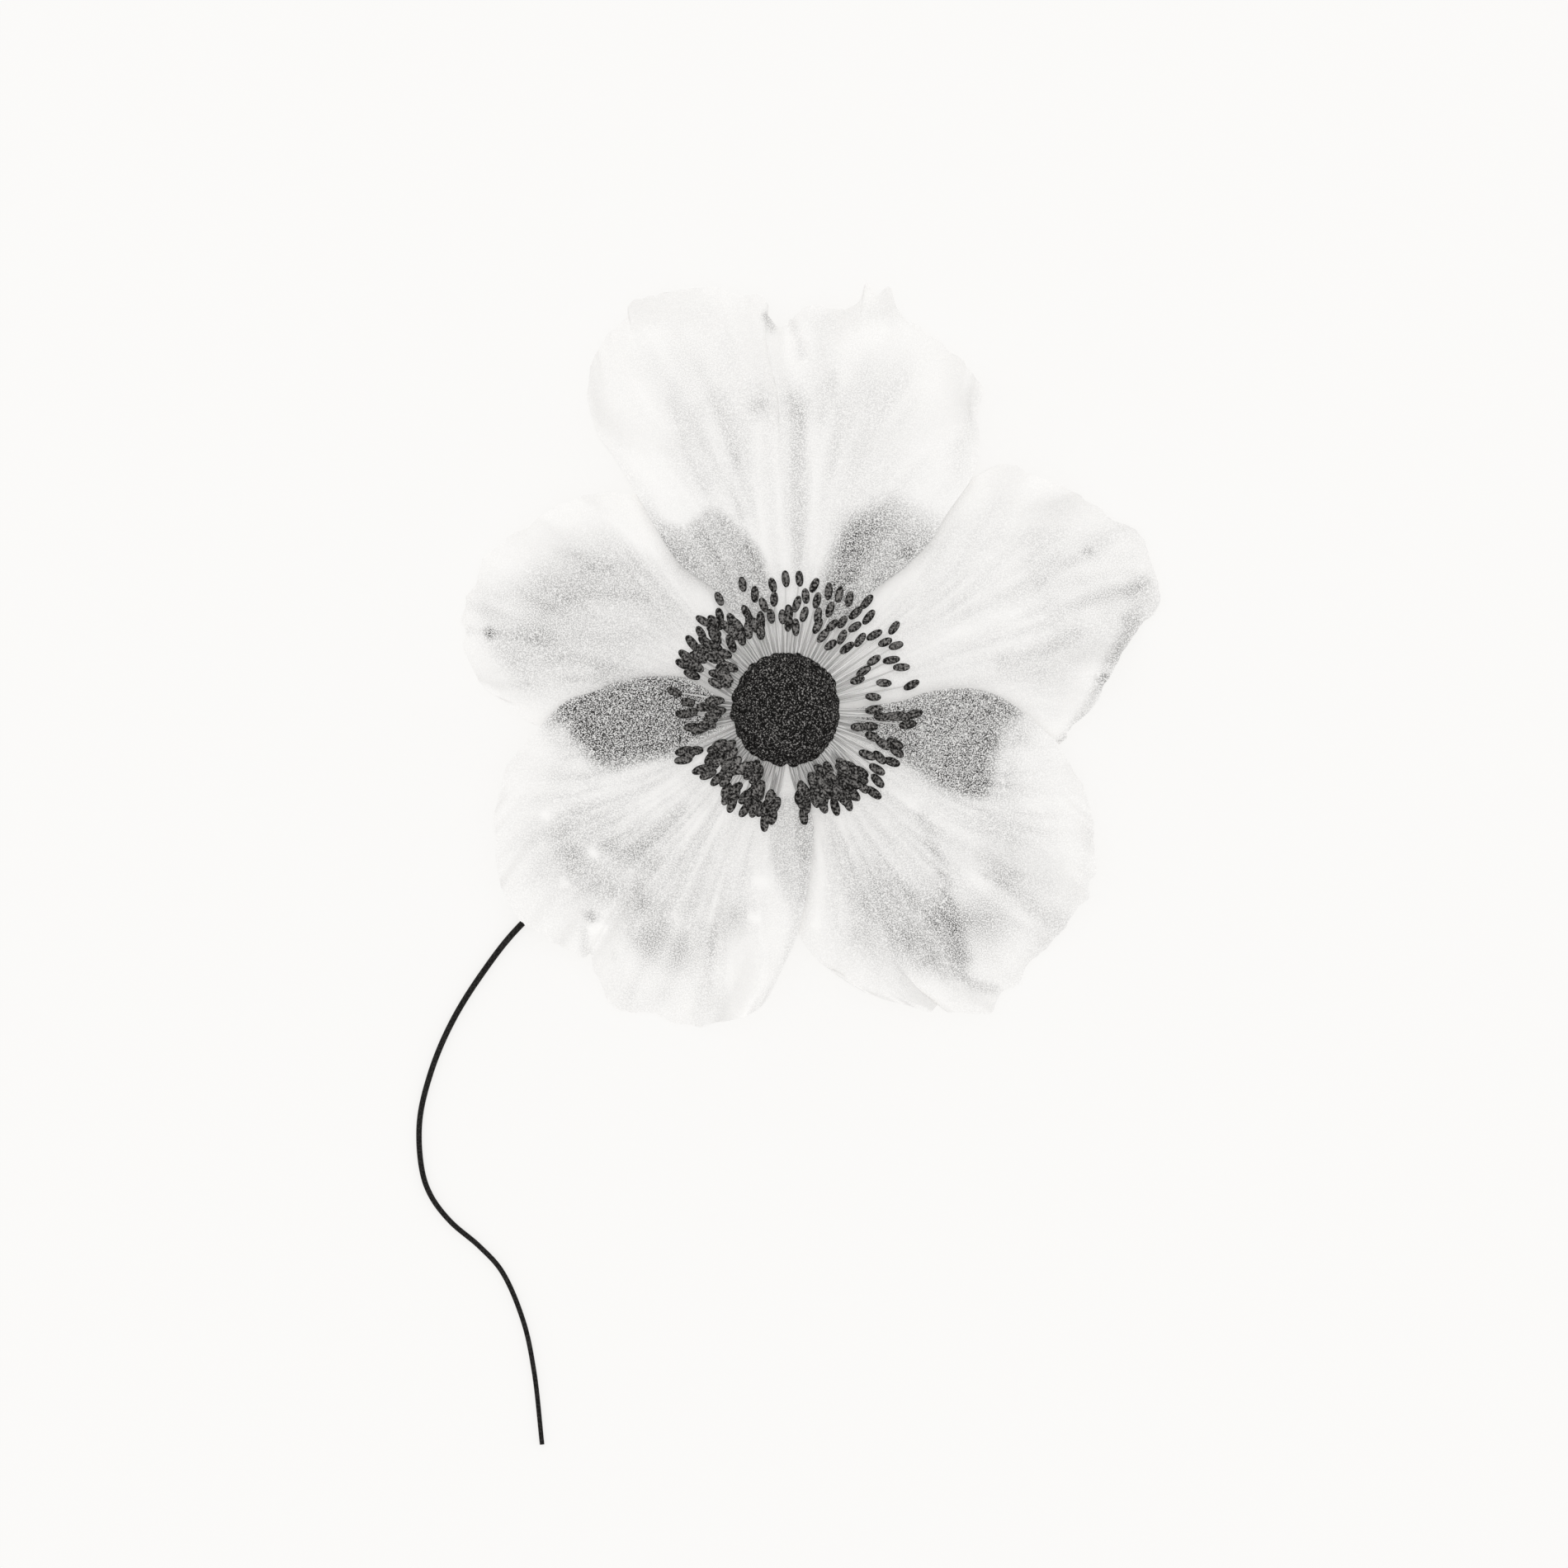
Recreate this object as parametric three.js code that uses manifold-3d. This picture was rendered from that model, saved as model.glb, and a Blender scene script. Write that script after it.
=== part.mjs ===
// An anemone flower, cut and lying face up: five petals in layers round a ring of stamens and a
// dark dome of carpels, on a thin stem that turns away under the lower left petal.
// Millimetres, +Z up, +Y towards the top petal. The surface that the flower lies on is at z = 0.

import * as THREE from "three";
import { mergeVertices } from "three/addons/utils/BufferGeometryUtils.js";
import Module from "manifold-3d";

const wasm = await Module();
wasm.setup();

// Where the middle of the bloom stands, so that the origin lies under the middle of the whole flower
const BLOOM_AT = [-0.25, 18.6];

// Petals: thickness and layer spacing, both measured upright
const BLADE = 0.65;
const LAYER_STEP = 1.1;
const ROWS = 7;
const COLUMNS_PER_SPAN = 2;

// Edges shorter than this are closed up where pieces grow together
const SHORTEST_EDGE = 0.01;

// Petal claws meet the receptacle in this ring
const CLAW_REACH = 4.0;
const CLAW_HALF_ANGLE = 28;

// The shell that the lowest petals follow: high at the receptacle and flat near the margins
const SHELL_LOW = 0.75;
const SHELL_RISE = 5.5;
const SHELL_WIDTH = 15;
const SHELL_POWER = 1.3;
const SHELL_TROUGH = 0.5;
const TROUGH_REACH = [5, 24];

// A petal keeps its full step above the one beneath for HOLD past its outline, and settles by SETTLE
const HOLD = 4;
const SETTLE = 12;

// A margin curls from this share of the petal's length outwards, and only clear of other petals
const CURL_FROM = 0.6;
const CURL_CLEAR = [1.5, 8];

// The low ridge where a petal passes over the stem: its crest, how it falls away, and its rounding
const RIDGE = { crest: 1.95, fall: 0.045, rounding: 0.6 };

// Round each spot where a petal rests: how far it is flat, and where that has faded out
const REST_FLAT = 5;
const REST_FADE = 12;

// Receptacle, stamens and dome, from the bottom up
const RECEPTACLE = { radius: 3.65, neck: 4.3, shoulder: 5.5, top: 8.8 };
const COLLAR = { radius: 5.3, bottom: 9.1, top: 9.8 };
const DOME = { bottom: 10.1, middle: 12.2, top: 17.5, halfWidth: 6.4, halfLength: 6.7 };
const DOME_FOOT = 55; // degrees below its widest level where its flat foot begins
const DOME_CROWN = 84; // degrees above it where its small flat crown begins
const KNOB = 0.22;
const KNOBS_AROUND = 15;
const KNOB_LEVELS = 12;

// Stamens
const FILAMENT_RADIUS = 0.23;
const FILAMENT_ROOT = 4.6;
const KNEE = { reach: 8.9, share: 0.62, height: 9.7 }; // the bend that takes it clear of the dome
const ROOTS_EVENED = 0.6; // how far the roots are evened out round the dome
const ANTHER_LENGTH = 1.95;
const ANTHER_RADIUS = 0.5;
const ANTHER_RISE = 0.3;
const ANTHER_LEAN = 7; // degrees to either side
const LOWEST_ANTHER = 11;
const HIGHER_INWARD = 0.55; // rise for each millimetre nearer to the dome than the longest reach
const LONGEST_REACH = 16.2;
const UNEVEN_HEIGHT = 0.9;
const TUFT_TURN = 2.4; // radians from one stamen of a tuft to the next

// Stem, from under the receptacle to its cut end
const STEM_RADIUS = 0.45;
const STEM_END_RADIUS = 0.28;
const STEM_BEND = 4;
const STEM_SIDES = 8;
const STEM_STEPS = 40;

// Petals from the lowest up. Each outline is seen from above, in millimetres from the middle of the
// bloom. Its sides run outwards from the claw, and right and left are as seen from the claw. Its tip
// runs from the right side's end to the left side's end. The last values shape the margin: how far it
// curls up, and the height, number and start of its waves.
const PETALS = [
  {
    name: "petal_upper_left",
    claw: 158,
    over: [],
    right: [[-1.4, 9], [-0.7, 16.1], [-3.2, 20.6], [-7.2, 24.1]],
    tip: [
      [-7.2, 24.1], [-12.5, 25.3], [-18.2, 26.1], [-22.4, 26.3], [-27.7, 24.8], [-31.9, 22.1],
      [-36.7, 18.3], [-37.7, 15.9], [-39.4, 11.1], [-38.8, 9.6], [-39.1, 7.6], [-37.9, 4.9],
      [-36.2, 2.5], [-34, 1.1], [-31.9, -0.9], [-27.4, -3.1], [-23.3, -7.2],
    ],
    left: [[-8.5, -3.6], [-13, -6.1], [-18.6, -7], [-21.5, -7.9], [-23.3, -7.2]],
    rests: [[-32.6, 11.6]],
    curl: 1.6,
    wave: 0.7,
    waves: 4,
    start: 0.3,
  },
  {
    name: "petal_upper_right",
    claw: 20,
    over: [],
    right: [[8.5, -2.6], [14.3, -6.2], [17.4, -8.8], [20.3, -10], [23.8, -10.9]],
    tip: [
      [23.8, -10.9], [26.3, -6.4], [29.2, -3.6], [33.3, -4.2], [35.1, -1.8], [37.3, 0.6],
      [40.1, 5.8], [41.6, 8.1], [43.3, 10.6], [44.8, 11.8], [45.1, 16.1], [44.4, 18.1],
      [43.8, 20.6], [41.8, 22.3], [39.3, 23.3], [37.3, 25.1], [32.8, 27.4], [29.6, 28.7],
      [26.3, 29.9], [22.8, 28.4], [17.8, 28.1], [10.8, 26.3],
    ],
    left: [[3.2, 9.5], [3.3, 16.6], [4.8, 19.3], [6.1, 22.1], [8.3, 24.6], [10.8, 26.3]],
    rests: [[37.4, 16.4]],
    curl: 1.9,
    wave: 0.8,
    waves: 4,
    start: 0.1,
  },
  {
    name: "petal_lower_right",
    claw: 306,
    over: ["petal_upper_right"],
    right: [
      [-1.2, -8.5], [-1.9, -12.9], [-2.1, -18.9], [-0.7, -21.4], [1.5, -27], [4.1, -30.4],
      [6.8, -31.9],
    ],
    tip: [
      [6.8, -31.9], [9.8, -34.2], [14.8, -35.7], [17.8, -36.4], [18.8, -35.9], [19.8, -36.7],
      [22.8, -36.6], [25.3, -36.4], [26.3, -34.4], [28.8, -32.9], [29.4, -31.4], [31.3, -29.4],
      [33.3, -26.9], [35.8, -23.9], [37.1, -20.9], [37.4, -17.9], [37.3, -15.4], [37.1, -12.9],
      [36, -9.4], [34.8, -7.4], [32.8, -3.9],
    ],
    left: [
      [8.6, 0.2], [14.3, 1.2], [16.8, 2.1], [19.8, 2.6], [22.6, 2.6], [25.3, 1.9], [28.3, 0.1],
      [32.8, -3.9],
    ],
    rests: [[24.4, -26.4]],
    curl: 1.7,
    wave: 0.8,
    waves: 5,
    start: 0.6,
  },
  {
    name: "petal_top",
    claw: 90,
    over: ["petal_upper_left", "petal_upper_right"],
    right: [
      [5.6, 8.8], [10.3, 14.1], [14.8, 17.6], [17.6, 20.6], [19.4, 23.6], [22.9, 28.9],
      [23.4, 32.6], [23.1, 35.6], [23.9, 38.7],
    ],
    tip: [
      [23.9, 38.7], [22.5, 41.1], [19.6, 44.1], [17, 46.1], [13.8, 48.6], [12.5, 51.4],
      [11, 50.4], [9.8, 51.7], [9, 49.9], [7.3, 48.8], [3.3, 49], [0.6, 47.6], [-0.7, 46.8],
      [-2.2, 48.1], [-2.2, 49.5], [-5.2, 50.6], [-8.4, 51.2], [-12.2, 50.8], [-18.9, 49.3],
      [-19.2, 47.9], [-21.9, 45.3], [-23.4, 42.1], [-24, 38.1],
    ],
    left: [
      [-4.6, 8.8], [-8.4, 14.3], [-12.4, 17.3], [-14.4, 19.9], [-17.8, 25.7], [-20.7, 30.6],
      [-22.5, 33.1], [-23.4, 35.6], [-24, 38.1],
    ],
    rests: [[-14, 41.5], [12, 41.5]],
    curl: 1.7,
    wave: 0.9,
    waves: 5,
    start: 0.2,
  },
  {
    name: "petal_lower_left",
    claw: 232,
    over: ["petal_upper_left", "petal_lower_right"],
    right: [
      [-7.6, 1.2], [-12.2, 3.9], [-15.7, 4.1], [-18.6, 3.8], [-21, 3.2], [-23.6, 2.1],
      [-26.2, 1.3], [-28.6, -0.8], [-30.3, -2.7], [-33.6, -6.5],
    ],
    tip: [
      [-33.6, -6.5], [-35, -11.5], [-35.1, -14.4], [-34.7, -20.3], [-33.9, -22.6],
      [-31.5, -25.9], [-29.5, -27], [-27.7, -28.5], [-26.2, -29.4], [-24.5, -29.9],
      [-23.5, -29.3], [-23.3, -31.1], [-21.8, -34.9], [-20.4, -36.1], [-18.6, -36.8],
      [-16.3, -37], [-14.2, -37.9], [-9.2, -38.2], [-7.5, -37.6], [-5.4, -37.3], [-3.7, -36.4],
      [-2.2, -34.9],
    ],
    left: [
      [1.6, -8.4], [3.1, -12.4], [3.4, -14.4], [3.2, -17.4], [2.5, -22.6], [1, -28.2],
      [-0.1, -30.5], [-2.2, -34.9],
    ],
    rests: [[-14, -31.5]],
    curl: 1.6,
    wave: 0.7,
    waves: 5,
    start: 0.8,
  },
];

// Stamens that stand apart from the rest: direction in degrees and reach of each anther
const LOOSE_ANTHERS = [
  [84, 15.7], [90, 15.6], [96, 14.9], [96, 13.2], [88, 11.6], [80, 13.7], [77, 15.2], [70, 15],
  [65, 15.1], [60, 15.2], [53, 16.1], [54, 14.2], [50, 12.8], [48, 14.8], [37, 16.2], [40, 13.8],
  [43, 12.1], [45, 10.3], [34, 14.3], [30, 15.2], [25, 13.9], [29, 12], [20, 14.7], [26, 10.3],
  [22, 9.2], [15, 12.1], [11, 15.3], [8, 10.5], [79, 11.5], [71, 11.8], [63, 9.8], [55, 9.3],
  [109, 15.8], [105, 14.2], [102, 12.7], [112, 12.4], [121, 15.4], [125, 13.7], [133, 14.4],
  [138, 13.6], [171, 13.4], [160, 8.9],
];

// Tufts of stamens: direction, reach, half spread in degrees, half spread in reach, and count
const TUFTS = [
  [122, 11, 9, 1.4, 4], [142, 11, 8, 1.6, 4], [153, 12.5, 6, 1.2, 3], [153, 9.6, 6, 0.9, 1],
  [178, 11.5, 6, 1.2, 2], [184, 9.2, 7, 0.5, 1], [194, 10.5, 6, 1.4, 2], [205, 12.6, 3, 1, 2],
  [212, 10.2, 7, 1.3, 3], [222, 12.2, 6, 0.8, 2], [227, 9.8, 5, 1.2, 1], [236, 11.6, 2, 0.9, 2],
  [248, 11, 6, 1.6, 4], [261, 11.6, 6, 1.6, 4], [280, 10.8, 3, 1.9, 3], [293, 11.2, 5, 1.9, 4],
  [304, 12.2, 5, 1.6, 4], [316, 11.2, 6, 1.9, 4], [329, 12.6, 7, 1.9, 4], [342, 14, 4, 0.9, 2],
  [346, 10.4, 5, 1, 1], [355, 13.8, 4, 1.4, 2], [357, 10.2, 4, 0.8, 1],
];

// The stem's route along the surface, from under the petal to the cut end
const STEM_ROUTE = [
  [-12, -9.7], [-22, -17.8], [-31.9, -25.8], [-36.8, -31.9], [-40.5, -37.9], [-43, -43.9],
  [-44.35, -49.9], [-44, -55.9], [-42.9, -58.9], [-40.6, -61.9], [-37.1, -64.9], [-34.4, -67.9],
  [-31.8, -73.9], [-30.5, -79.9], [-29.5, -88.9],
];
const STEM_EMERGES = 2; // the point of the route at the petal's margin

const radians = THREE.MathUtils.degToRad;
const smoothstep = THREE.MathUtils.smoothstep;

// Material of one kind of piece
function finish(color, roughness) {
  return new THREE.MeshStandardMaterial({ color, roughness, metalness: 0 });
}

const petalFinish = finish(0xe6e4e0, 0.7);
const stamenFinish = finish(0x33312f, 0.8);
const domeFinish = finish(0x2b2a29, 0.85);
const stemFinish = finish(0x32302e, 0.7);

// The larger of two heights, with the crease between them rounded over a width
function roundedMax(a, b, width) {
  const near = Math.max(width - Math.abs(a - b), 0) / width;
  return Math.max(a, b) + (near * near * width) / 4;
}

// Repeatable numbers from 0 to 1
function randomFrom(seed) {
  let state = seed;
  return () => {
    state = (state * 16807) % 2147483647;
    return state / 2147483647;
  };
}

// A mesh's geometry from corners and triangles
function geometryOf(points, triangles) {
  const geometry = new THREE.BufferGeometry();
  geometry.setAttribute("position", new THREE.Float32BufferAttribute(points.flat(), 3));
  geometry.setIndex(triangles);
  geometry.computeVertexNormals();
  return geometry;
}

// A closed body through rings that each turn anticlockwise round the way they are strung
function loft(rings) {
  const sides = rings[0].length;
  const last = (rings.length - 1) * sides;
  const triangles = [];
  for (let ring = 0; ring + 1 < rings.length; ring++) {
    for (let side = 0; side < sides; side++) {
      const a = ring * sides + side;
      const b = ring * sides + ((side + 1) % sides);
      triangles.push(a, b, b + sides, a, b + sides, a + sides);
    }
  }
  for (let side = 1; side + 1 < sides; side++) {
    triangles.push(0, side + 1, side, last, last + side, last + side + 1);
  }
  return geometryOf(rings.flat(), triangles);
}

// The level direction to the right of a heading
function rightOf(heading) {
  return new THREE.Vector3(heading.y, -heading.x, 0).normalize();
}

// A ring of corners round a point, square to a heading. Its first side faces down.
function ringAt(centre, heading, radius, sides, across = rightOf(heading)) {
  const up = new THREE.Vector3().crossVectors(across, heading).normalize();
  const ring = [];
  for (let side = 0; side < sides; side++) {
    const turn = ((side + 0.5) / sides) * 2 * Math.PI + Math.PI / 2;
    const corner = centre.clone();
    corner.addScaledVector(across, radius * Math.cos(turn));
    corner.addScaledVector(up, radius * -Math.sin(turn));
    ring.push(corner.toArray());
  }
  return ring;
}

// A body turned round the upright axis from a profile of distances and heights
function turned(profile, sides) {
  const corners = profile.map(([distance, height]) => new THREE.Vector2(distance, height));
  return new THREE.LatheGeometry(corners, sides).rotateX(Math.PI / 2);
}

// The closed solid of a geometry, for joining
function solidOf(geometry) {
  const bare = geometry.clone();
  bare.deleteAttribute("normal");
  bare.deleteAttribute("uv");
  const merged = mergeVertices(bare, 1e-4);
  const corners = merged.index.array;
  const kept = [];
  for (let i = 0; i < corners.length; i += 3) {
    const [a, b, c] = [corners[i], corners[i + 1], corners[i + 2]];
    if (a !== b && b !== c && c !== a) kept.push(a, b, c);
  }
  return new wasm.Manifold(
    new wasm.Mesh({
      numProp: 3,
      vertProperties: merged.attributes.position.array,
      triVerts: new Uint32Array(kept),
    }),
  );
}

// Several overlapping closed geometries as one
function fused(geometries) {
  const joined = geometries.map(solidOf).reduce((whole, piece) => whole.add(piece));
  const mesh = joined.simplify(SHORTEST_EDGE).getMesh();
  const geometry = new THREE.BufferGeometry();
  geometry.setAttribute("position", new THREE.Float32BufferAttribute(mesh.vertProperties, 3));
  geometry.setIndex([...mesh.triVerts]);
  geometry.computeVertexNormals();
  return geometry;
}

// A smooth level curve through points
function curveThrough(points) {
  return new THREE.CatmullRomCurve3(points.map(([x, y]) => new THREE.Vector3(x, y, 0)));
}

// A point of the ring where the claws meet the receptacle
function clawPoint(degrees) {
  return [CLAW_REACH * Math.cos(radians(degrees)), CLAW_REACH * Math.sin(radians(degrees))];
}

// A petal seen from above: the four curves round it, the grid over it and its outline
function planOf(petal) {
  const rightCorner = clawPoint(petal.claw - CLAW_HALF_ANGLE);
  const leftCorner = clawPoint(petal.claw + CLAW_HALF_ANGLE);
  const right = curveThrough([rightCorner, ...petal.right]);
  const left = curveThrough([leftCorner, ...petal.left]);
  const tip = curveThrough(petal.tip);
  const rightEnd = petal.tip[0];
  const leftEnd = petal.tip[petal.tip.length - 1];

  // u runs from the right side to the left, and v from the claw to the tip
  const place = (u, v) => {
    const claw = clawPoint(petal.claw + CLAW_HALF_ANGLE * (2 * u - 1));
    const far = tip.getPoint(u).toArray();
    const onRight = right.getPointAt(v).toArray();
    const onLeft = left.getPointAt(v).toArray();
    return [0, 1].map(
      (axis) =>
        (1 - v) * claw[axis] +
        v * far[axis] +
        (1 - u) * onRight[axis] +
        u * onLeft[axis] -
        (1 - u) * (1 - v) * rightCorner[axis] -
        u * (1 - v) * leftCorner[axis] -
        (1 - u) * v * rightEnd[axis] -
        u * v * leftEnd[axis],
    );
  };

  const columns = (petal.tip.length - 1) * COLUMNS_PER_SPAN;
  const outline = [];
  for (let i = 0; i <= columns; i++) outline.push(place(i / columns, 1));
  for (let j = ROWS - 1; j >= 0; j--) outline.push(place(1, j / ROWS));
  for (let j = 0; j < ROWS; j++) outline.push(place(0, j / ROWS));
  return { ...petal, place, columns, outline };
}

const plans = new Map(PETALS.map((petal) => [petal.name, planOf(petal)]));

// How far a point lies from a line between two others
function distanceToLine([x, y], [ax, ay], [bx, by]) {
  const length = (bx - ax) ** 2 + (by - ay) ** 2;
  const along = length ? ((x - ax) * (bx - ax) + (y - ay) * (by - ay)) / length : 0;
  const share = THREE.MathUtils.clamp(along, 0, 1);
  return Math.hypot(x - ax - share * (bx - ax), y - ay - share * (by - ay));
}

// How far a point lies outside a closed outline: 0 inside it
function distanceOutside([x, y], outline) {
  let inside = false;
  let nearest = Infinity;
  outline.forEach((a, i) => {
    const b = outline[(i + 1) % outline.length];
    const crosses = a[1] > y !== b[1] > y;
    if (crosses && x < a[0] + ((y - a[1]) * (b[0] - a[0])) / (b[1] - a[1])) inside = !inside;
    nearest = Math.min(nearest, distanceToLine([x, y], a, b));
  });
  return inside ? 0 : nearest;
}

// How far a petal is raised by the petals beneath it
function raisedBy(plan, point) {
  return plan.over.reduce((raised, name) => {
    const beneath = plans.get(name);
    const outside = distanceOutside(point, beneath.outline);
    const held = 1 - smoothstep(outside, HOLD, SETTLE);
    return Math.max(raised, held * (LAYER_STEP + raisedBy(beneath, point)));
  }, 0);
}

// Height of the shell that all petals follow, with a trough along the middle of each petal
function shellHeight([x, y]) {
  const reach = Math.max(Math.hypot(x, y) - CLAW_REACH, 0);
  const fall = SHELL_RISE * Math.exp(-((reach / SHELL_WIDTH) ** SHELL_POWER));
  const round = Math.cos(PETALS.length * (Math.atan2(y, x) - radians(90)));
  return SHELL_LOW + fall - SHELL_TROUGH * smoothstep(reach, ...TROUGH_REACH) * round;
}

// Height of a petal's middle surface
function petalHeight(plan, u, v, point) {
  const others = [...plans.values()].filter((other) => other.name !== plan.name);
  const toOthers = Math.min(...others.map((other) => distanceOutside(point, other.outline)));
  const free = smoothstep(toOthers, ...CURL_CLEAR);
  const waving = plan.wave * Math.sin(2 * Math.PI * (plan.waves * u + plan.start));
  const margin = free * smoothstep(v, CURL_FROM, 1) * (plan.curl + waving);
  let height = shellHeight(point) + raisedBy(plan, point) + margin;

  // It passes over the stem
  const toStem = distanceToLine(point, [0, 0], STEM_ROUTE[STEM_EMERGES]);
  height = roundedMax(height, RIDGE.crest - RIDGE.fall * toStem ** 2, RIDGE.rounding);

  // It rests flat on the surface at its spots, and goes nowhere below it
  for (const [x, y] of plan.rests) {
    const away = smoothstep(Math.hypot(point[0] - x, point[1] - y), REST_FLAT, REST_FADE);
    height = THREE.MathUtils.lerp(BLADE / 2, height, away);
  }
  return Math.max(height, BLADE / 2);
}

// A petal: its grid at two heights, split alike on both faces, and a wall round its edge
function petalGeometry(plan) {
  const across = plan.columns + 1;
  const lower = [];
  const upper = [];
  for (let j = 0; j <= ROWS; j++) {
    for (let i = 0; i <= plan.columns; i++) {
      const [u, v] = [i / plan.columns, j / ROWS];
      const point = plan.place(u, v);
      const height = petalHeight(plan, u, v, point);
      lower.push([...point, height - BLADE / 2]);
      upper.push([...point, height + BLADE / 2]);
    }
  }

  const count = lower.length;
  const triangles = [];
  for (let j = 0; j < ROWS; j++) {
    for (let i = 0; i < plan.columns; i++) {
      const a = j * across + i;
      const [b, c, d] = [a + 1, a + across + 1, a + across];
      triangles.push(a, b, c, a, c, d);
      triangles.push(count + a, count + c, count + b, count + a, count + d, count + c);
    }
  }

  const edge = [];
  for (let i = 0; i < plan.columns; i++) edge.push(i);
  for (let j = 0; j < ROWS; j++) edge.push(j * across + plan.columns);
  for (let i = plan.columns; i > 0; i--) edge.push(ROWS * across + i);
  for (let j = ROWS; j > 0; j--) edge.push(j * across);
  edge.forEach((a, i) => {
    const b = edge[(i + 1) % edge.length];
    triangles.push(b, a, count + a, b, count + a, count + b);
  });
  return geometryOf([...lower, ...upper], triangles);
}

// The anthers, in order round the dome: where each stands and how high, and where its root is. The
// roots are more evenly spread than the anthers.
function antherPlaces() {
  const random = randomFrom(7);
  const places = [...LOOSE_ANTHERS];
  for (const [direction, reach, halfAngle, halfReach, count] of TUFTS) {
    for (let i = 0; i < count; i++) {
      const turn = i * TUFT_TURN;
      const out = Math.sqrt((i + 0.5) / count);
      places.push([
        direction + halfAngle * out * Math.cos(turn),
        reach + halfReach * out * Math.sin(turn),
      ]);
    }
  }
  places.sort((a, b) => a[0] - b[0]);
  return places.map(([direction, reach], i) => {
    const even = places[0][0] + (360 * i) / places.length;
    const rootDirection = THREE.MathUtils.lerp(direction, even, ROOTS_EVENED);
    const inward = HIGHER_INWARD * (LONGEST_REACH - reach);
    const height = LOWEST_ANTHER + inward + UNEVEN_HEIGHT * random();
    const lean = ANTHER_LEAN * (2 * random() - 1);
    return { direction, reach, rootDirection, height, lean };
  });
}

// A point given by its direction from the middle in degrees, its distance and its height
function pointAt(degrees, distance, height) {
  const turn = radians(degrees);
  return new THREE.Vector3(distance * Math.cos(turn), distance * Math.sin(turn), height);
}

// One stamen: a bent three-sided filament and the anther on its end
function stamenGeometries({ direction, reach, rootDirection, height, lean }) {
  const root = pointAt(rootDirection, FILAMENT_ROOT, (COLLAR.bottom + COLLAR.top) / 2);
  const kneeReach = Math.max(KNEE.reach, KNEE.share * reach);
  const knee = pointAt((direction + rootDirection) / 2, kneeReach, KNEE.height);
  const tip = pointAt(direction, reach, height);
  const path = new THREE.QuadraticBezierCurve3(root, knee, tip);

  const filament = [0, 0.5, 1].map((t) =>
    ringAt(path.getPoint(t), path.getTangent(t), FILAMENT_RADIUS, 3),
  );

  // The anther lies flatter than the end of its filament, and leans a little to one side
  const heading = pointAt(direction + lean, 1, ANTHER_RISE).normalize();
  const anther = [
    [-0.5, 0.45],
    [0, 1],
    [0.5, 0.45],
  ].map(([along, width]) =>
    ringAt(
      tip.clone().addScaledVector(heading, along * ANTHER_LENGTH),
      heading,
      width * ANTHER_RADIUS,
      5,
    ),
  );
  return [loft(filament), loft(anther)];
}

// All stamens, grown together from one collar
function stamensGeometry() {
  const profile = [
    [0, COLLAR.bottom],
    [COLLAR.radius - 0.3, COLLAR.bottom],
    [COLLAR.radius, COLLAR.bottom + 0.2],
    [COLLAR.radius, COLLAR.top - 0.2],
    [COLLAR.radius - 0.3, COLLAR.top],
    [0, COLLAR.top],
  ];
  return fused([turned(profile, 24), ...antherPlaces().flatMap(stamenGeometries)]);
}

// The dome of carpels: an egg shape, flat below, whose surface rises in rows of small knobs
function domeGeometry() {
  const around = 2 * KNOBS_AROUND;
  const below = (DOME.middle - DOME.bottom) / Math.sin(radians(DOME_FOOT));
  const above = DOME.top - DOME.middle;
  const rings = [];
  for (let level = 0; level <= KNOB_LEVELS; level++) {
    const rise = THREE.MathUtils.lerp(-DOME_FOOT, DOME_CROWN, level / KNOB_LEVELS);
    const halfHeight = rise < 0 ? below : above;
    const ring = [];
    for (let i = 0; i < around; i++) {
      const turn = ((i + (level % 2) / 2) / around) * 2 * Math.PI;
      const knob = level > 0 && level < KNOB_LEVELS && i % 2 === 0 ? KNOB : 0;
      const out = Math.cos(radians(rise));
      ring.push([
        (DOME.halfWidth + knob) * out * Math.cos(turn),
        (DOME.halfLength + knob) * out * Math.sin(turn),
        DOME.middle + (halfHeight + knob) * Math.sin(radians(rise)),
      ]);
    }
    rings.push(ring);
  }
  return loft(rings);
}

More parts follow.
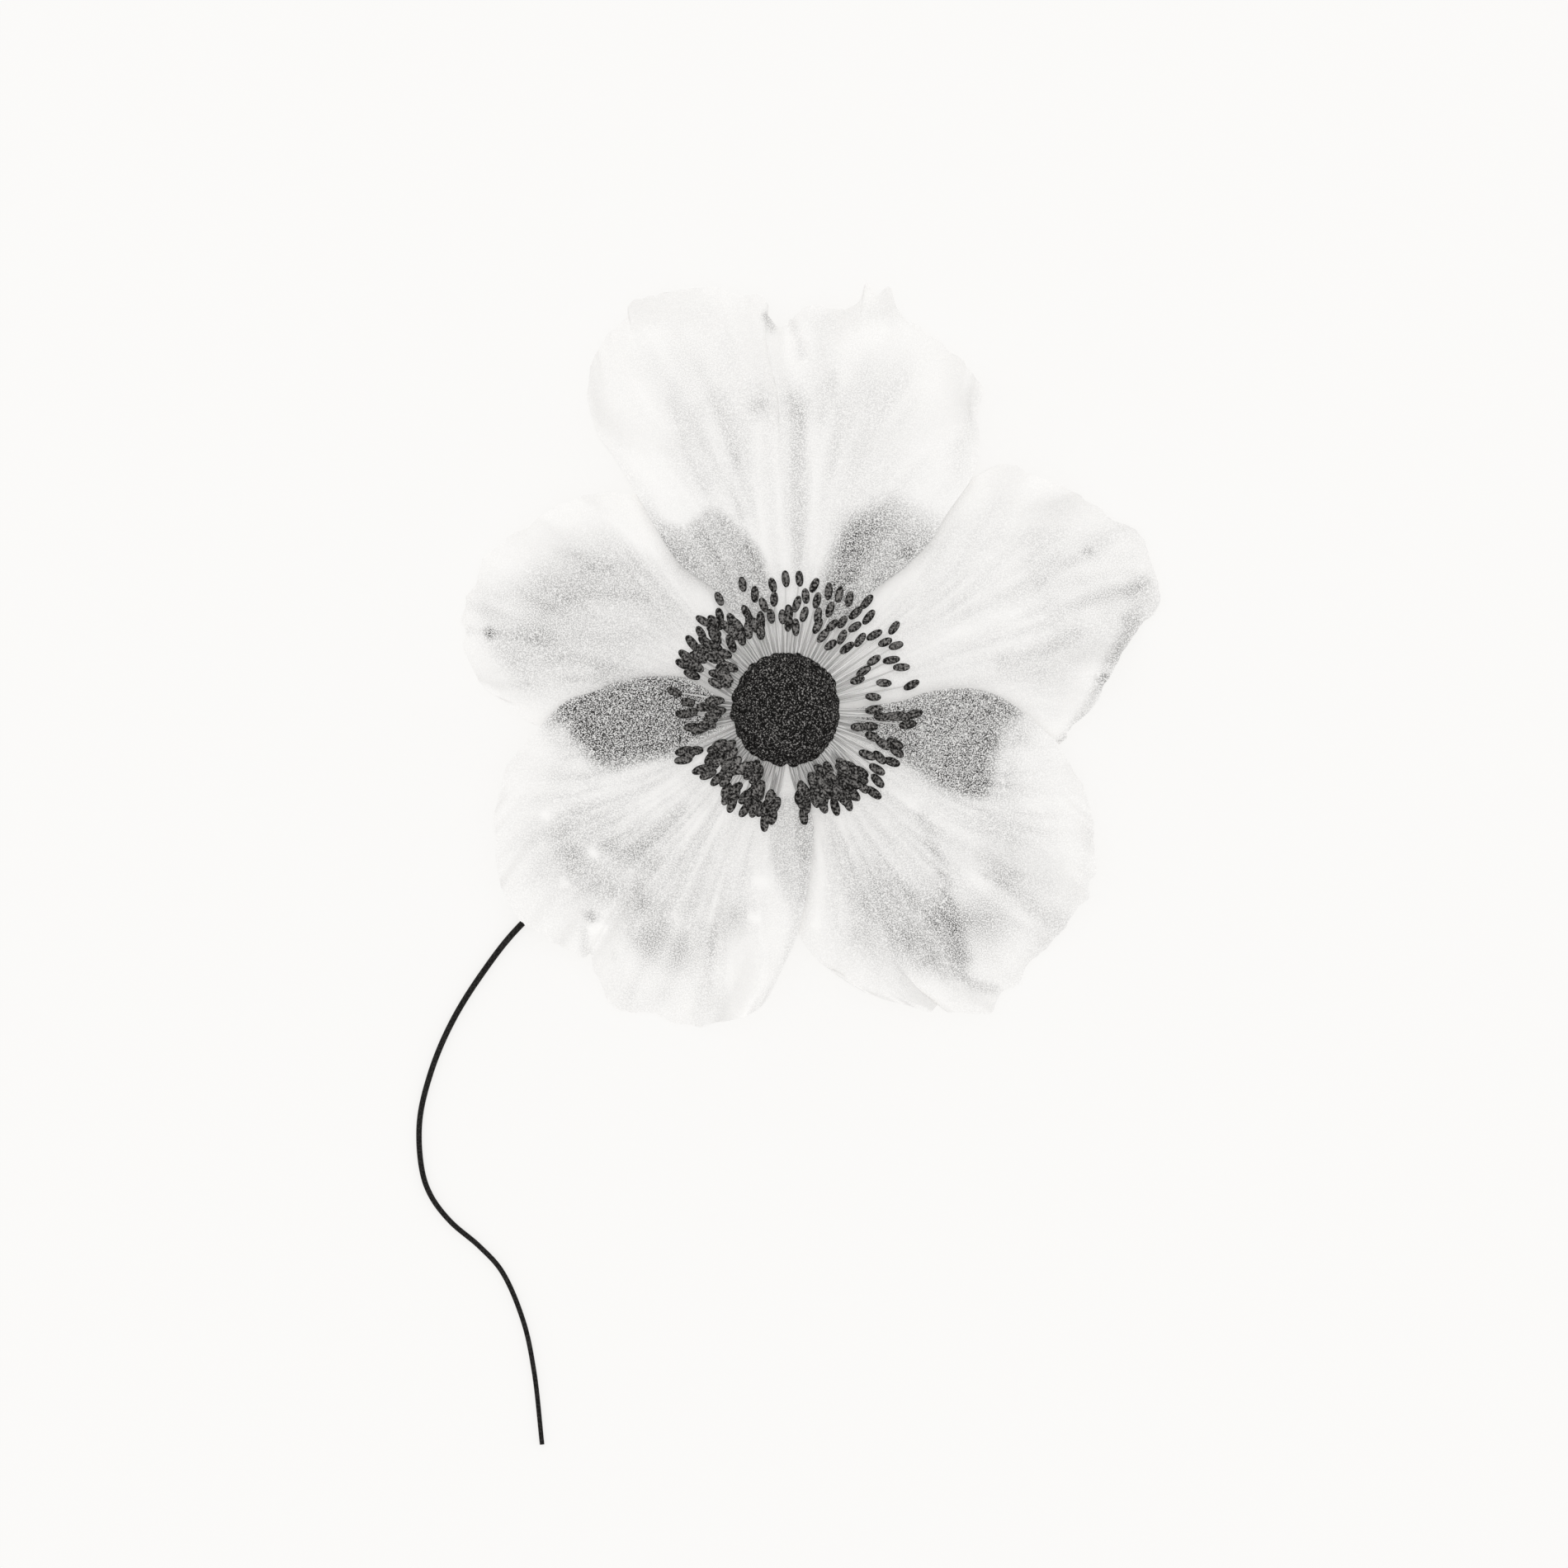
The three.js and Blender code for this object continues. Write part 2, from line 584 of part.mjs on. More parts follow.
// The stem and the receptacle that it flares into
function stemGeometry() {
  const profile = [
    [0, RECEPTACLE.neck],
    [STEM_RADIUS, RECEPTACLE.neck],
    [STEM_RADIUS + 0.5, RECEPTACLE.neck + 0.6],
    [RECEPTACLE.radius - 0.5, RECEPTACLE.shoulder - 0.3],
    [RECEPTACLE.radius, RECEPTACLE.shoulder],
    [RECEPTACLE.radius, RECEPTACLE.top - 0.2],
    [RECEPTACLE.radius - 0.3, RECEPTACLE.top],
    [0, RECEPTACLE.top],
  ];

  // Down from the receptacle, round the bend and along the surface, thinner towards the cut end
  const [firstX, firstY] = STEM_ROUTE[0];
  const away = new THREE.Vector3(firstX, firstY, 0).normalize();
  const low = STEM_RADIUS * Math.cos(Math.PI / STEM_SIDES);
  const points = [new THREE.Vector3(0, 0, RECEPTACLE.shoulder)];
  for (const degrees of [0, 22.5, 45, 67.5, 90]) {
    const point = away.clone().multiplyScalar(STEM_BEND * (1 - Math.cos(radians(degrees))));
    point.z = low + STEM_BEND * (1 - Math.sin(radians(degrees)));
    points.push(point);
  }
  points.push(away.clone().multiplyScalar(1.5 * STEM_BEND).setZ(low));
  points.push(...STEM_ROUTE.map(([x, y]) => new THREE.Vector3(x, y, low)));
  const path = new THREE.CatmullRomCurve3(points);
  const rings = [];
  for (let step = 0; step <= STEM_STEPS; step++) {
    const share = step / STEM_STEPS;
    const radius = THREE.MathUtils.lerp(STEM_RADIUS, STEM_END_RADIUS, share);
    const centre = path.getPointAt(share);
    centre.z = Math.max(centre.z, low) - (STEM_RADIUS - radius) * Math.cos(Math.PI / STEM_SIDES);
    const heading = path.getTangentAt(share);
    const bending = Math.hypot(centre.x, centre.y) < STEM_BEND;
    rings.push(ringAt(centre, heading, radius, STEM_SIDES, rightOf(bending ? away : heading)));
  }
  return fused([turned(profile, 20), loft(rings)]);
}

function pieceOf(name, geometry, material) {
  const mesh = new THREE.Mesh(geometry, material);
  mesh.name = name;
  return mesh;
}

const bloom = new THREE.Group();
bloom.position.set(...BLOOM_AT, 0);
for (const plan of plans.values()) bloom.add(pieceOf(plan.name, petalGeometry(plan), petalFinish));
bloom.add(pieceOf("stamens", stamensGeometry(), stamenFinish));
bloom.add(pieceOf("pistil", domeGeometry(), domeFinish));
bloom.add(pieceOf("stem", stemGeometry(), stemFinish));

const flower = new THREE.Group();
flower.add(bloom);

export default flower;
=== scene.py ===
import math

import bpy
import numpy as np
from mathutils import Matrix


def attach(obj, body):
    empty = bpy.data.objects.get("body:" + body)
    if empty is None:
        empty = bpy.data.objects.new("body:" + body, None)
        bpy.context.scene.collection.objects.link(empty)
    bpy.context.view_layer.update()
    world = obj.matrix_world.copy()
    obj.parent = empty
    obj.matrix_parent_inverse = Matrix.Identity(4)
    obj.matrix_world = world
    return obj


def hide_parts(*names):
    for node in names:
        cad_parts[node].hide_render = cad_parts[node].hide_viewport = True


# A cut anemone bloom lying face up. Sizes are in millimetres, and a mesh turns them into metres.
# Places on the bloom are counted from its middle, with y towards the top petal.

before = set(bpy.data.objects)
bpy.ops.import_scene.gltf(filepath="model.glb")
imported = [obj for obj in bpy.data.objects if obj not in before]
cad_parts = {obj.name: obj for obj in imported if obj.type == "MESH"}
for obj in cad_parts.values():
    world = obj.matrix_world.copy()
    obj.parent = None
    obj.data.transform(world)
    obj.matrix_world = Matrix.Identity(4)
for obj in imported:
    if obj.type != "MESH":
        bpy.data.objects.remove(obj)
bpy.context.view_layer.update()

# Stem. A thin, dark, slightly ribbed stalk that bends level under the bloom and lies in a long
# curve on the surface. Its top flares into the receptacle, which carries everything else. It grew
# as one piece.
BLOOM_AT = (-0.25, 18.6)
STEM_RADIUS = 0.45
STEM_END_RADIUS = 0.28
STEM_BEND = 4.0
PAST_BEND = 1.5  # where the first point after the bend lies, in radii of the bend
STEM_TOP = 5.5
STEM_SIDES = 24
STEM_STEPS = 420
STEM_RIBS = 6
RIB_DEPTH = 0.035
STEM_ROUTE = [
    (-12, -9.7), (-22, -17.8), (-31.9, -25.8), (-36.8, -31.9), (-40.5, -37.9), (-43, -43.9),
    (-44.35, -49.9), (-44, -55.9), (-42.9, -58.9), (-40.6, -61.9), (-37.1, -64.9), (-34.4, -67.9),
    (-31.8, -73.9), (-30.5, -79.9), (-29.5, -88.9),
]
STEM_EMERGES = 2  # the point of the route at the petal's margin
RECEPTACLE = [
    (0, 4.3), (0.45, 4.3), (0.95, 4.9), (3.15, 5.2), (3.65, 5.5), (3.65, 8.6), (3.35, 8.8), (0, 8.8),
]
RECEPTACLE_SIDES = 64
STEM_COLOUR = (0.005, 0.0047, 0.0044, 1)
STEM_PALE = (0.03, 0.028, 0.026, 1)
CURVE_STEPS = 201  # the points over which a curve's length is measured
NEARLY_UPRIGHT = 0.2  # the level share of a heading below which another ring says what is sideways
SHARP_EDGE = 50  # degrees between two faces from which their edge stays sharp
MILLIMETRE = 0.001


def curve_at(points, shares):
    """Points of a smooth curve through given points, each span taking an equal share."""
    points = np.asarray(points, float)
    ends = [2 * points[0] - points[1], *points, 2 * points[-1] - points[-2]]
    padded = np.array(ends)
    where = np.asarray(shares, float) * (len(points) - 1)
    span = np.minimum(where.astype(int), len(points) - 2)
    t = (where - span)[:, None]
    p0, p1, p2, p3 = (padded[span + k] for k in range(4))
    spans = ((p0, p1), (p1, p2), (p2, p3))
    d0, d1, d2 = (np.sqrt(np.linalg.norm(b - a, axis=1))[:, None] for a, b in spans)
    out = ((p1 - p0) / d0 - (p2 - p0) / (d0 + d1) + (p2 - p1) / d1) * d1
    into = ((p2 - p1) / d1 - (p3 - p1) / (d1 + d2) + (p3 - p2) / d2) * d1
    square = -3 * p1 + 3 * p2 - 2 * out - into
    cube = 2 * p1 - 2 * p2 + out + into
    return p1 + out * t + square * t**2 + cube * t**3


def curve_evenly(points, shares):
    """Points of the same curve, spread by length."""
    steps = np.linspace(0, 1, CURVE_STEPS)
    lengths = np.linalg.norm(np.diff(curve_at(points, steps), axis=0), axis=1)
    travelled = np.concatenate([[0], np.cumsum(lengths)])
    return curve_at(points, np.interp(np.asarray(shares) * travelled[-1], travelled, steps))


def tube(centres, radii, sides):
    """Corners and faces of a closed tube. Radii hold one number for each corner of each ring."""
    centres = np.asarray(centres, float)
    heading = np.gradient(centres, axis=0)
    heading /= np.linalg.norm(heading, axis=1)[:, None]
    across = np.stack([heading[:, 1], -heading[:, 0], np.zeros(len(heading))], 1)
    steep = np.linalg.norm(across, axis=1) < NEARLY_UPRIGHT
    across[steep] = across[~steep][0] if (~steep).any() else (1, 0, 0)
    across -= (across * heading).sum(1)[:, None] * heading
    across /= np.linalg.norm(across, axis=1)[:, None]
    up = np.cross(across, heading)
    turns = np.linspace(0, 2 * math.pi, sides, endpoint=False)
    ring = across[:, None] * np.cos(turns)[None, :, None] + up[:, None] * np.sin(turns)[None, :, None]
    corners = (centres[:, None] + ring * np.asarray(radii)[..., None]).reshape(-1, 3)
    faces = []
    for step in range(len(centres) - 1):
        a = step * sides
        for side in range(sides):
            b = (side + 1) % sides
            faces.append((a + side, a + sides + side, a + sides + b, a + b))
    last = (len(centres) - 1) * sides
    faces.append(tuple(range(sides)))
    faces.append(tuple(last + side for side in reversed(range(sides))))
    return corners, faces


def turned(profile, sides):
    """Corners and faces of a closed body turned round the upright axis."""
    turns = np.linspace(0, 2 * math.pi, sides, endpoint=False)
    corners = [(0, 0, profile[0][1])]
    for out, height in profile[1:-1]:
        corners += [(out * math.cos(a), out * math.sin(a), height) for a in turns]
    corners.append((0, 0, profile[-1][1]))
    faces = []
    rings = len(profile) - 2
    for side in range(sides):
        b = (side + 1) % sides
        faces.append((0, 1 + b, 1 + side))
        for ring in range(rings - 1):
            low = 1 + ring * sides
            faces.append((low + side, low + b, low + sides + b, low + sides + side))
        top = 1 + (rings - 1) * sides
        faces.append((len(corners) - 1, top + side, top + b))
    return np.array(corners), faces


def joined(parts):
    """Several bodies' corners and faces in one list each."""
    corners, faces, start = [], [], 0
    for part_corners, part_faces in parts:
        corners.append(part_corners)
        faces += [tuple(start + i for i in face) for face in part_faces]
        start += len(part_corners)
    return np.concatenate(corners), faces


def piece(name, corners, faces, node, slot, materials):
    """A mesh standing for a node of the frame, from corners counted from the bloom's middle."""
    mesh = bpy.data.meshes.new(name)
    placed = (np.asarray(corners) + (*BLOOM_AT, 0)) * MILLIMETRE
    mesh.from_pydata(placed.tolist(), [], faces)
    for material in materials:
        mesh.materials.append(material)
    mesh.shade_smooth()
    mesh.set_sharp_from_angle(angle=math.radians(SHARP_EDGE))
    made = bpy.data.objects.new(name, mesh)
    bpy.context.scene.collection.objects.link(made)
    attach(made, "root")
    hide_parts(node)
    return made


def speckle_group():
    """A node group for the fine speckle of plant cells. It puts out a mask from 0 to 1."""
    group = bpy.data.node_groups.new("fine speckle", "ShaderNodeTree")
    for name, value in (("Size in metres", 0.0002), ("Contrast", 2.0), ("Middle", 0.5)):
        socket = group.interface.new_socket(name, in_out="INPUT", socket_type="NodeSocketFloat")
        socket.default_value = value
    group.interface.new_socket("Mask", in_out="OUTPUT", socket_type="NodeSocketFloat")
    nodes, links = group.nodes, group.links
    given = nodes.new("NodeGroupInput")
    result = nodes.new("NodeGroupOutput")
    place = nodes.new("ShaderNodeTexCoord")
    inverse = nodes.new("ShaderNodeMath")
    inverse.operation = "DIVIDE"
    inverse.inputs[0].default_value = 1
    noise = nodes.new("ShaderNodeTexNoise")
    noise.inputs["Detail"].default_value = 1
    spread = nodes.new("ShaderNodeMath")
    spread.operation = "MULTIPLY_ADD"
    spread.use_clamp = True
    centre = nodes.new("ShaderNodeMath")
    centre.operation = "SUBTRACT"
    centre.inputs[1].default_value = 0.5
    links.new(given.outputs["Size in metres"], inverse.inputs[1])
    links.new(inverse.outputs[0], noise.inputs["Scale"])
    links.new(place.outputs["Object"], noise.inputs["Vector"])
    links.new(noise.outputs["Fac"], centre.inputs[0])
    links.new(centre.outputs[0], spread.inputs[0])
    links.new(given.outputs["Contrast"], spread.inputs[1])
    links.new(given.outputs["Middle"], spread.inputs[2])
    links.new(spread.outputs[0], result.inputs["Mask"])
    return group


speckle = speckle_group()


def new_material(name, roughness, shine):
    """A material with its nodes, its links, and its shader of the given roughness and shine."""
    material = bpy.data.materials.new(name)
    material.use_nodes = True
    nodes, links = material.node_tree.nodes, material.node_tree.links
    shader = nodes["Principled BSDF"]
    shader.inputs["Roughness"].default_value = roughness
    shader.inputs["Specular IOR Level"].default_value = shine
    return material, nodes, links, shader


def colour_node(nodes, first, second):
    """A node that goes from the first colour at 0 to the second at 1."""
    colour = nodes.new("ShaderNodeMix")
    colour.data_type = "RGBA"
    colour.inputs["A"].default_value = first
    colour.inputs["B"].default_value = second
    return colour


def grain_on(nodes, links, shader, size, contrast, middle, depth):
    """The fine speckle, placed in a material and raising its surface by a depth in metres."""
    grain = nodes.new("ShaderNodeGroup")
    grain.name = "grain"
    grain.node_tree = speckle
    grain.inputs["Size in metres"].default_value = size
    grain.inputs["Contrast"].default_value = contrast
    grain.inputs["Middle"].default_value = middle
    relief = nodes.new("ShaderNodeBump")
    relief.inputs["Distance"].default_value = depth
    links.new(grain.outputs["Mask"], relief.inputs["Height"])
    links.new(relief.outputs["Normal"], shader.inputs["Normal"])
    return grain


def speckled(name, dark, pale, size, contrast, middle, roughness, depth):
    """A dull dark plant surface, mottled between two colours by the fine speckle."""
    material, nodes, links, shader = new_material(name, roughness, shine=0.1)
    grain = grain_on(nodes, links, shader, size, contrast, middle, depth)
    colour = colour_node(nodes, dark, pale)
    links.new(grain.outputs["Mask"], colour.inputs["Factor"])
    links.new(colour.outputs["Result"], shader.inputs["Base Color"])
    return material


def stem_points():
    """The stem's middle line: down from the receptacle, round the bend and along the surface."""
    away = np.array(STEM_ROUTE[0]) / np.hypot(*STEM_ROUTE[0])
    points = [(0, 0, STEM_TOP)]
    for degrees in (0, 22.5, 45, 67.5, 90):
        turn = math.radians(degrees)
        level = STEM_BEND * (1 - math.cos(turn)) * away
        points.append((*level, STEM_RADIUS + STEM_BEND * (1 - math.sin(turn))))
    points.append((*(PAST_BEND * STEM_BEND * away), STEM_RADIUS))
    points += [(x, y, STEM_RADIUS) for x, y in STEM_ROUTE]
    return points


stem_shares = np.linspace(0, 1, STEM_STEPS)
stem_centres = curve_evenly(stem_points(), stem_shares)
stem_thickness = STEM_RADIUS + (STEM_END_RADIUS - STEM_RADIUS) * stem_shares
stem_centres[:, 2] = np.maximum(stem_centres[:, 2], STEM_RADIUS) - (STEM_RADIUS - stem_thickness)
stem_turns = np.linspace(0, 2 * math.pi, STEM_SIDES, endpoint=False)
stem_ribs = RIB_DEPTH * (np.cos(STEM_RIBS * stem_turns) - 1) / 2
stem_radii = stem_thickness[:, None] * (1 + stem_ribs[None] / STEM_RADIUS)
stem_body = joined([tube(stem_centres, stem_radii, STEM_SIDES), turned(RECEPTACLE, RECEPTACLE_SIDES)])
stem_skin = speckled(
    "stem skin", STEM_COLOUR, STEM_PALE,
    size=0.00022, contrast=3, middle=0.3, roughness=0.7, depth=0.00004,
)
piece("stem_skin", *stem_body, "stem", "stem", [stem_skin])

# Petals. Five thin, broad, soft blades in layers, each narrowed to a claw that sits on the rim of
# the receptacle. They are pale and let light through, and fine folds fan out from the claw. Where
# two lie over each other, the darker patch of weaker light is painted shade in the upper one's
# colour. Outlines and heights are those of the frame.
BLADE = 0.3
COLUMNS = 280
ROWS = 100
ROWS_CROWD = 1.35  # above 1 the rows lie closer together towards the tip
MARGIN_STEPS = 40  # for each span of the tip
OUTLINE_STEPS, OUTLINE_ROWS = 2, 8  # steps for each span of the tip, and corners along a side
EDGE_SHARE = 0.35  # how thick a blade is at its very edge, beside its middle
EDGE_WIDTH = 0.05
SIDE_EDGE = 1.6  # how many times less of a blade's width than of its length the thin edge takes up
CLAW_REACH = 4.0
CLAW_HALF_ANGLE = 28
LAYER_STEP = 1.1
SHELL = {"low": 0.75, "rise": 5.5, "width": 15, "power": 1.3, "trough": 0.5, "fade": (5, 24)}
HOLD, SETTLE = 4, 12
CURL_FROM = 0.6
CURL_CLEAR = (1.5, 8)
RIDGE = {"crest": 1.95, "fall": 0.045, "rounding": 0.6}
REST_FLAT, REST_FADE = 5, 12
FAN_BACK = 3  # how far behind the bloom's middle the veins of a petal meet
VEIN_SPLAY = 0.6  # how far the veins bend outward by the time that they reach the margin
VEIN_REACH = 38
FOLD_ANGLE = 2.6
FOLD_LENGTH = 9
FOLD_HEIGHT = 0.07
FOLD_FROM = (0.15, 0.45)  # shares of a blade's length over which its folds rise
COARSE_FOLDS, FINE_FOLDS = 0.65, 0.35
FINER_ACROSS, FINER_ALONG = 2.1, 1.4  # how many times narrower and shorter the fine folds are
VEIN_ANGLE = 1.0
VEIN_LENGTH = 7
VEIN_RELIEF = 0.25  # how high the veins stand, beside the folds
FOLD_SHARE, VEIN_SHARE = 0.65, 0.95  # how strongly the folds and the finer veins show
MOTTLE_WIDTH = 2.3
MOTTLE_FINER = 2.2
COARSE_MOTTLE, FINE_MOTTLE = 0.6, 0.4
MOTTLE_SHARE = 0.5  # how strongly the mottle shows, beside the streaks
RIM_STREAKS = 0.15  # how strongly both show at the rim, beside the middle
STROKE_STREAKS = 0.28
STROKE_MOTTLE = 0.3
OVERLAP_UNEVEN = 0.4  # how much of the strokes' unevenness shows in the painted shade where a petal lies beneath
OVERLAP_SPREAD = 0.4  # how far the painted shade of a petal beneath reaches past its margin
NOTCH = 0.3
NOTCH_WIDTH = 1.6
NOTCH_INWARD = 0.6  # how far inward the notched margin lies on average, beside a notch's depth
NOTCH_ENDS = 0.03  # the share of the tip at either end over which they fade
NOTCH_FROM = 0.86
FINE_NOTCH, NOTCH_FINER = 0.4, 2.6
RUFFLE = 0.2
RUFFLE_WIDTH = 1.3
RUFFLE_FROM = 0.8
RUFFLES_ALONG = 6
RIM_FLAT, RIM_WIDTH = 2, 10  # depths at which the tissue starts and stops growing deeper in colour
CLAW_SHARE = 0.35  # how deep the tissue is near the claw, beside the middle of the blade
CLAW_TO_MIDDLE = (12, 24)
SOFT_ONSET = (-0.9, 0.7)  # depths over which the painted shade of a petal beneath starts at the upper one's margin
SHARP_ONSET = (-2, -1)
NEVER_THINS = (90, 91)
PETAL_PALE = (0.955, 0.945, 0.93, 1)
# The deepest colour of the tissue, which also gives the painted shade where petals overlap
PETAL_DEEP = (0.02, 0.018, 0.017, 1)
PETAL_TRANSLUCENCY = 0.12
PETAL_SPECKLE = 0.8  # how far the speckle takes the tone to either side
REPEATS = 97  # the random waves repeat after so many units
